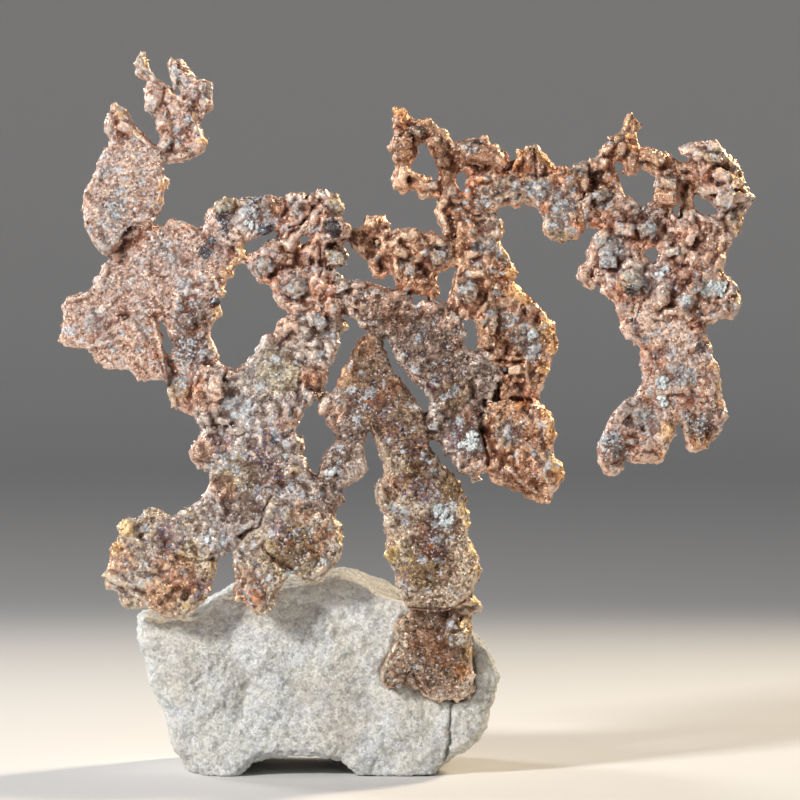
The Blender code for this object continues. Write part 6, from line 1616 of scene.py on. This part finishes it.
def make_ragged_edge():
    """Turn a soft share into a patch with a ragged edge."""
    group, given, out = new_group(
        "ragged edge",
        {"place": ORIGIN, "share": 0.0, "jags per mm": 1.6, "raggedness": 1.0},
        {"mask": "NodeSocketFloat"},
    )
    noise = noise_value(group, given["place"], given["jags per mm"], 3.0, 0.6)
    jag = math_node(group, "MULTIPLY", math_node(group, "SUBTRACT", noise, 0.5), given["raggedness"])
    uneven = math_node(group, "ADD", given["share"], jag)
    group.links.new(ramp_between(group, uneven, 0.42, 0.58), out["mask"])
    return group


RAGGED_EDGE = make_ragged_edge()

# %% Tarnish colours group
TARNISH = [
    (0.0, (0.42, 0.40, 0.62)),
    (0.3, (0.44, 0.56, 0.86)),
    (0.42, (0.62, 0.52, 0.84)),
    (0.52, (0.84, 0.58, 0.66)),
    (0.62, (1.0, 0.60, 0.42)),
    (0.74, (0.80, 0.84, 0.56)),
    (1.0, (0.96, 0.98, 0.84)),
]


def make_tarnish_colours():
    """The tints of a thin tarnish film: violet, blue, red, orange and greenish gold."""
    group, given, out = new_group(
        "tarnish colours", {"place": ORIGIN, "bands per mm": 0.7}, {"colour": "NodeSocketColor"}
    )
    noise = noise_value(group, given["place"], given["bands per mm"], 5.0, 0.7)
    ramp = add_node(group, "ShaderNodeValToRGB", {"Fac": ramp_between(group, noise, 0.3, 0.7)})
    stops = ramp.color_ramp.elements
    while len(stops) < len(TARNISH):
        stops.new(0.5)
    for stop, (position, colour) in zip(stops, TARNISH):
        stop.position = position
        stop.color = (*colour, 1.0)
    group.links.new(ramp.outputs["Color"], out["colour"])
    return group


TARNISH_COLOURS = make_tarnish_colours()

# %% [markdown]
# ## The copper finishes
# Freshly broken copper is salmon pink, and in air it goes brown, then grey. On this piece the broad faces
# are a mottle of pink-brown metal with a blue-grey film in spots, and the rims are smoother and cleaner.
# The creases, hollows and pits are darkened red-brown to black with painted shade, and the small ridges
# get a painted highlight. One function builds all four copper finishes from the same groups, because
# they differ only in how much of each colour they have.

# %% Start of a material


def attribute_value(tree, name):
    """A number that the mesh keeps for each vertex."""
    return add_node(tree, "ShaderNodeAttribute", attribute_name=name).outputs["Fac"]


def start_material(name):
    """An empty material with a shader, and the place on the surface in millimetres."""
    material = bpy.data.materials.new(name)
    material.use_nodes = True
    tree = material.node_tree
    place = scaled(tree, add_node(tree, "ShaderNodeTexCoord").outputs["Object"], 1 / MM)
    return material, tree, tree.nodes["Principled BSDF"], place


def multiply(tree, *values):
    """The product of several masks or numbers."""
    product = values[0]
    for value in values[1:]:
        product = math_node(tree, "MULTIPLY", product, value)
    return product


def connect(tree, shader, colour, roughness, grit, strength, depth):
    """Give a shader its colour, its roughness, and a bump whose full height is a depth in metres."""
    bump = add_node(tree, "ShaderNodeBump", {"Height": grit, "Strength": strength, "Distance": depth})
    tree.links.new(colour, shader.inputs["Base Color"])
    tree.links.new(roughness, shader.inputs["Roughness"])
    tree.links.new(bump.outputs["Normal"], shader.inputs["Normal"])


# %% Colours of the copper
STAIN_TINTS = {
    "blush": ((1.0, 0.79, 0.67), 0.8),
    # darker tint, partly painted shade where less light falls
    "soot": ((0.58, 0.51, 0.48), 1.0),
    "olive": ((0.84, 0.82, 0.58), 0.65),
    "iridescence": ("tarnish", 0.85),
    "ember": ((1.0, 0.64, 0.46), 0.6),
    "ink": ((0.15, 0.25, 0.38), 0.9),
    # painted warm highlight on edges that catch the warm light
    "gilt": ((1.0, 0.86, 0.54), 0.75),
}
DARK_FILM = (0.30, 0.33, 0.36)
PALE_FILM = (0.75, 0.81, 0.88)
DARK_PATINA = (0.13, 0.105, 0.085)
PALE_PATINA = (0.46, 0.41, 0.36)
LILAC = (0.46, 0.31, 0.31)
RIM_METAL = (0.74, 0.45, 0.33)
DUST = (0.44, 0.41, 0.40)
# Painted shade: brown for the pits of the fine relief, black for the deepest hollows.
BROWN_SHADE = (0.11, 0.05, 0.03)
BLACK_SHADE = (0.02, 0.01, 0.007)
FINE_GRAINS, COARSE_GRAINS, SAND_GRAINS = 4.2, 1.4, 8.0
CRYSTAL_TINT = 0.7
# How much the clean spots lighten the metal, partly a painted sheen.
CLEAN_AND_SHEEN_LIFT = 0.22
GRIT_DEPTH = 0.8 * MM

# %% Metal, stains and film


def metal_colour(tree, place, own, dark, ground, light):
    """The mottle of the metal itself: dark, middle and light grains, with lilac clouds."""
    colour = blend_colours(tree, ramp_between(tree, own, 0.12, 0.42), dark, ground)
    colour = blend_colours(tree, ramp_between(tree, own, 0.5, 0.85), colour, light)
    lilac = use_group(tree, CLOUDS, place=place, clouds_per_mm=0.35, level=0.55, edge=0.12)["mask"]
    return blend_colours(tree, multiply(tree, lilac, 0.25), colour, LILAC)


def stained_colour(tree, place, colour):
    """Tint the metal with the tarnish stains, each with a ragged edge, so that its grains still show."""
    for kind, (tint, strength) in STAIN_TINTS.items():
        share = attribute_value(tree, kind)
        edge = use_group(tree, RAGGED_EDGE, place=place, share=share, jags_per_mm=2.2, raggedness=1.8)
        if tint == "tarnish":
            tint = use_group(tree, TARNISH_COLOURS, place=place, bands_per_mm=1.6)["colour"]
        colour = lay(tree, colour, (multiply(tree, edge["mask"], strength), tint, "MULTIPLY"))
    return colour


def film_mask(tree, place, fine, coarse, film_share):
    """The grains that carry the mineral film: most at its known places, others by chance in clouds."""
    veil = attribute_value(tree, "veil")
    known = use_group(tree, RAGGED_EDGE, place=place, share=veil, jags_per_mm=3.0, raggedness=2.4)["mask"]
    cloud = use_group(tree, CLOUDS, place=place, clouds_per_mm=0.4, level=0.5, edge=0.12)["mask"]
    by_chance = math_node(tree, "ADD", cloud, multiply(tree, attribute_value(tree, "dust"), 0.5))
    by_chance = math_node(tree, "ADD", by_chance, attribute_value(tree, "patina"))
    share = math_node(tree, "MAXIMUM", multiply(tree, known, 0.8), multiply(tree, by_chance, film_share))
    small = math_node(tree, "GREATER_THAN", share, fine["film"])
    large = math_node(tree, "GREATER_THAN", multiply(tree, share, 0.3), coarse["film"])
    return math_node(tree, "MAXIMUM", small, large)


# %% Copper finish


def copper_finish(name, dark, ground, light, hollow_shade, film_share):
    """One copper finish: three colours of metal, one painted shade for hollows, and the share of grains
    with film.
    """
    material, tree, shader, place = start_material(name)
    fine, coarse, sand = (
        use_group(tree, GRAIN_MOSAIC, place=place, cells_per_mm=cells, raggedness=raggedness)
        for cells, raggedness in ((FINE_GRAINS, 0.3), (COARSE_GRAINS, 0.7), (SAND_GRAINS, 0.2))
    )
    rim, hollow, tint, relief, clean, dust, grey = (
        attribute_value(tree, kind)
        for kind in ("rim", "hollow", "tint", "relief", "clean", "dust", "patina")
    )
    shade = multiply(tree, fine["shade"], 0.5)
    shade = math_node(tree, "ADD", shade, multiply(tree, coarse["shade"], 0.3))
    shade = math_node(tree, "ADD", shade, multiply(tree, sand["shade"], 0.2))
    crystal_share = multiply(tree, math_node(tree, "GREATER_THAN", tint, 0.01), CRYSTAL_TINT)
    own = add_node(tree, "ShaderNodeMix", {0: crystal_share, 2: shade, 3: tint}).outputs[0]
    # the clean spots lighten the metal, partly as a painted sheen
    own = math_node(tree, "ADD", own, multiply(tree, clean, CLEAN_AND_SHEEN_LIFT))
    off_crystals = math_node(tree, "SUBTRACT", 1.0, crystal_share)
    bare = multiply(tree, ramp_between(tree, rim, 0.25, 0.75), off_crystals)
    patina = use_group(tree, RAGGED_EDGE, place=place, share=grey, jags_per_mm=2.4, raggedness=1.8)["mask"]
    colour = lay(
        tree, metal_colour(tree, place, own, dark, ground, light),
        (multiply(tree, bare, 0.4), RIM_METAL),
        (multiply(tree, patina, 0.75), blend_colours(tree, shade, DARK_PATINA, PALE_PATINA)),
        (multiply(tree, dust, 0.35), DUST),
        # painted highlight: the small ridges of the relief take the light metal colour
        (ramp_between(tree, relief, 0.05, 0.42, 0.55, 0.0), light),
    )
    film = film_mask(tree, place, fine, coarse, film_share)
    film_colour = blend_colours(tree, ramp_between(tree, shade, 0.2, 0.7), DARK_FILM, PALE_FILM)
    colour = lay(
        tree, stained_colour(tree, place, colour),
        (multiply(tree, film, 0.8), film_colour),
        # painted shade: hollows and creases in the hollow colour, pits of the relief in brown, the deepest
        # hollows in black
        (ramp_between(tree, hollow, 0.6, 0.9, 0.0, 0.75), hollow_shade),
        (ramp_between(tree, relief, 0.6, 0.98, 0.0, 0.55), BROWN_SHADE),
        (ramp_between(tree, hollow, 0.84, 1.0, 0.0, 0.75), BLACK_SHADE),
    )
    grit = math_node(tree, "ADD", fine["facet"], sand["facet"])
    grit = multiply(tree, grit, ramp_between(tree, rim, 0.2, 0.8, 1.0, 0.6))
    grit = multiply(tree, grit, ramp_between(tree, crystal_share, 0.0, CRYSTAL_TINT, 1.0, 0.6))
    roughness = ramp_between(tree, fine["film"], 0.0, 1.0, 0.24, 0.54)
    roughness = math_node(tree, "ADD", roughness, multiply(tree, film, 0.2))
    connect(tree, shader, colour, roughness, grit, 0.85, GRIT_DEPTH)
    tree.links.new(ramp_between(tree, film, 0.0, 1.0, 0.8, 0.1), shader.inputs["Metallic"])
    return material


# %% The four coppers
# Each copper: dark, ground and light metal, the painted shade of its hollows, and its share of grains with
# film.
COPPERS = {
    "pink_copper": (
        (0.18, 0.085, 0.055), (0.65, 0.385, 0.275), (1.0, 0.79, 0.655), (0.26, 0.075, 0.035), 0.2,
    ),
    "warm_copper": (
        (0.15, 0.065, 0.035), (0.63, 0.335, 0.2), (1.0, 0.71, 0.5), (0.25, 0.075, 0.035), 0.08,
    ),
    "grey_copper": (
        (0.14, 0.1, 0.08), (0.48, 0.375, 0.315), (0.93, 0.79, 0.69), (0.15, 0.085, 0.06), 0.15,
    ),
    "iridescent_copper": (
        (0.12, 0.085, 0.06), (0.49, 0.37, 0.27), (0.97, 0.79, 0.6), (0.17, 0.085, 0.05), 0.14,
    ),
}
FINISHES = {name: copper_finish(name, *colours) for name, colours in COPPERS.items()}
print("copper finishes:", ", ".join(FINISHES))

# %% [markdown]
# ## The rock's finish
# The rock is a mass of cream and white grains, with single grey-blue and dark grains and faint tan and
# bluish clouds. Its pits, its hollows and the crack are darkened with painted shade. It is rough and not
# metallic at all.

# %% Rock finish
GREY_GRAIN = (0.57, 0.60, 0.62)
WHITE_GRAIN = (1.0, 1.0, 1.0)
CREAM = (1.0, 0.985, 0.91)
TAN = (0.64, 0.55, 0.44)
BLUE_GREY = (0.36, 0.40, 0.43)
SPECK = (0.24, 0.27, 0.29)
FLECK = (0.18, 0.17, 0.15)
# The next two colours are painted shade: for the pits, and for the hollows and the crack.
PIT_SHADE = (0.30, 0.28, 0.24)
DEEP_SHADE = (0.20, 0.18, 0.14)


def rock_finish():
    """Pale granular rock."""
    material, tree, shader, place = start_material("matrix_rock")
    grains, coarse, sand = (
        use_group(tree, GRAIN_MOSAIC, place=place, cells_per_mm=cells, raggedness=raggedness)
        for cells, raggedness in ((3.6, 0.4), (1.7, 0.7), (SAND_GRAINS, 0.2))
    )
    cream, tan, blue = (
        use_group(tree, CLOUDS, place=place, clouds_per_mm=clouds, level=level, edge=edge)["mask"]
        for clouds, level, edge in ((0.3, 0.47, 0.12), (0.16, 0.56, 0.1), (0.55, 0.6, 0.1))
    )
    specks = math_node(tree, "GREATER_THAN", coarse["film"], 0.96)
    flecks = math_node(tree, "GREATER_THAN", sand["film"], 0.94)
    # Painted shade: pits of the fine relief and, darker, the hollows and the crack.
    pit_shade_mask = ramp_between(tree, attribute_value(tree, "relief"), 0.6, 0.95, 0.0, 0.3)
    hollow_shade_mask = ramp_between(tree, attribute_value(tree, "hollow"), 0.6, 1.0, 0.0, 0.6)
    shade = multiply(tree, grains["shade"], 0.55)
    shade = math_node(tree, "ADD", shade, multiply(tree, sand["shade"], 0.45))
    colour = lay(
        tree, blend_colours(tree, shade, GREY_GRAIN, WHITE_GRAIN),
        (cream, CREAM, "MULTIPLY"),
        (multiply(tree, tan, 0.3), TAN),
        (multiply(tree, blue, 0.4), BLUE_GREY),
        (multiply(tree, specks, 0.4), SPECK),
        (multiply(tree, flecks, 0.45), FLECK),
        (pit_shade_mask, PIT_SHADE),
        (hollow_shade_mask, DEEP_SHADE),
    )
    roughness = ramp_between(tree, grains["film"], 0.0, 1.0, 0.7, 0.95)
    grit = math_node(tree, "ADD", grains["facet"], sand["facet"])
    connect(tree, shader, colour, roughness, grit, 0.8, GRIT_DEPTH)
    return material


ROCK_FINISH = rock_finish()

# %% Calcite finish
DULL_CALCITE = (0.50, 0.54, 0.56)
WHITE_CALCITE = (0.84, 0.87, 0.86)


def calcite_finish():
    """White calcite grains, some a little grey-blue."""
    material, tree, shader, place = start_material("calcite")
    grains = use_group(tree, GRAIN_MOSAIC, place=place, cells_per_mm=2.6, raggedness=0.4)
    colour = blend_colours(tree, grains["shade"], DULL_CALCITE, WHITE_CALCITE)
    roughness = ramp_between(tree, grains["film"], 0.0, 1.0, 0.4, 0.7)
    connect(tree, shader, colour, roughness, grains["facet"], 0.4, 0.5 * MM)
    return material


CALCITE_FINISH = calcite_finish()
print("materials:", len(bpy.data.materials), "node groups:", len(bpy.data.node_groups))

# %% [markdown]
# ## Hand the pieces to the frame
# Each skin takes its finish, rides on the one body, and hides the imported node that it stands for.

# %% Ride and replace


def dress(piece, material, slot, *nodes):
    """Give a piece its finish, set it on the root body, and hide the imported nodes that it stands for."""
    piece.data.materials.clear()
    piece.data.materials.append(material)
    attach(piece, "root")
    if nodes:
        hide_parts(*nodes)


for node, slot in branch_slots.items():
    dress(skins[node], FINISHES[slot], slot, node)
dress(rock, ROCK_FINISH, "matrix_rock", "matrix_rock")
dress(calcite_specks, CALCITE_FINISH, "matrix_rock")
print("dressed pieces:", len(skins) + 2)

# %% [markdown]
# ## The room and the light
# A mineral is shown under a large soft light from the upper left, with a second, warmer light from behind
# at the right that draws the golden rims. The floor rises into a round wall, so that every side has the
# same plain pale ground.

# %% Floor
FLOOR_FLAT = 0.75
FLOOR_RISE = 0.95
WALL_HEIGHT = 1.3
WALL_CURVE = 2.6
FLOOR_STEPS = 24
FLOOR_SIDES = 96
FLOOR_COLOUR = (0.72, 0.71, 0.70, 1.0)


def make_floor():
    """A round floor that curves up into a wall."""
    body = bmesh.new()
    rings = []
    turns = [math.tau * side / FLOOR_SIDES for side in range(FLOOR_SIDES)]
    for step in range(FLOOR_STEPS + 1):
        radius = FLOOR_FLAT + FLOOR_RISE * step / FLOOR_STEPS
        height = WALL_HEIGHT * (step / FLOOR_STEPS) ** WALL_CURVE
        ring = [(radius * math.cos(turn), radius * math.sin(turn), height) for turn in turns]
        rings.append([body.verts.new(corner) for corner in ring])
    body.faces.new(rings[0])
    for lower, upper in zip(rings, rings[1:]):
        for side in range(FLOOR_SIDES):
            following = (side + 1) % FLOOR_SIDES
            body.faces.new((lower[side], upper[side], upper[following], lower[following]))
    floor = body_object("floor", body)
    floor.data.shade_smooth()
    floor.data.polygons[0].use_smooth = False
    material = bpy.data.materials.new("floor")
    material.use_nodes = True
    shader = material.node_tree.nodes["Principled BSDF"]
    shader.inputs["Base Color"].default_value = FLOOR_COLOUR
    shader.inputs["Roughness"].default_value = 0.9
    shader.inputs["Specular IOR Level"].default_value = 0.0
    floor.data.materials.append(material)


make_floor()

# %% Lights
LIGHTS = {
    "key": ((-0.46, -0.46, 0.36), 0.12, 5.2, (1.0, 0.98, 0.95), 180),
    "front fill": ((0.0, -0.7, 0.2), 0.3, 0.35, (0.93, 0.96, 1.0), 180),
    "warm rim": ((0.34, 0.3, 0.3), 0.08, 0.36, (1.0, 0.84, 0.6), 60),
    "cool rim": ((-0.4, 0.3, 0.24), 0.12, 0.16, (0.95, 0.97, 1.0), 60),
}
ROOM_COLOUR = (0.9, 0.93, 1.0, 1.0)
ROOM_STRENGTH = 0.13


def add_light(name, place, size, power, colour, spread):
    """A square lamp that faces the piece, its spread in degrees."""
    data = bpy.data.lights.new(name, "AREA")
    data.size = size
    data.energy = power
    data.color = colour
    data.spread = math.radians(spread)
    lamp = bpy.data.objects.new(name, data)
    lamp.location = place
    lamp.rotation_euler = (VIEW_CENTRE - Vector(place)).to_track_quat("-Z", "Y").to_euler()
    lamp.visible_camera = False
    scene.collection.objects.link(lamp)


for name, settings in LIGHTS.items():
    add_light(name, *settings)

world = bpy.data.worlds.new("room light")
world.use_nodes = True
background = world.node_tree.nodes["Background"]
background.inputs["Color"].default_value = ROOM_COLOUR
background.inputs["Strength"].default_value = ROOM_STRENGTH
scene.world = world
scene.view_settings.view_transform = "Standard"
print("lamps:", len(LIGHTS))
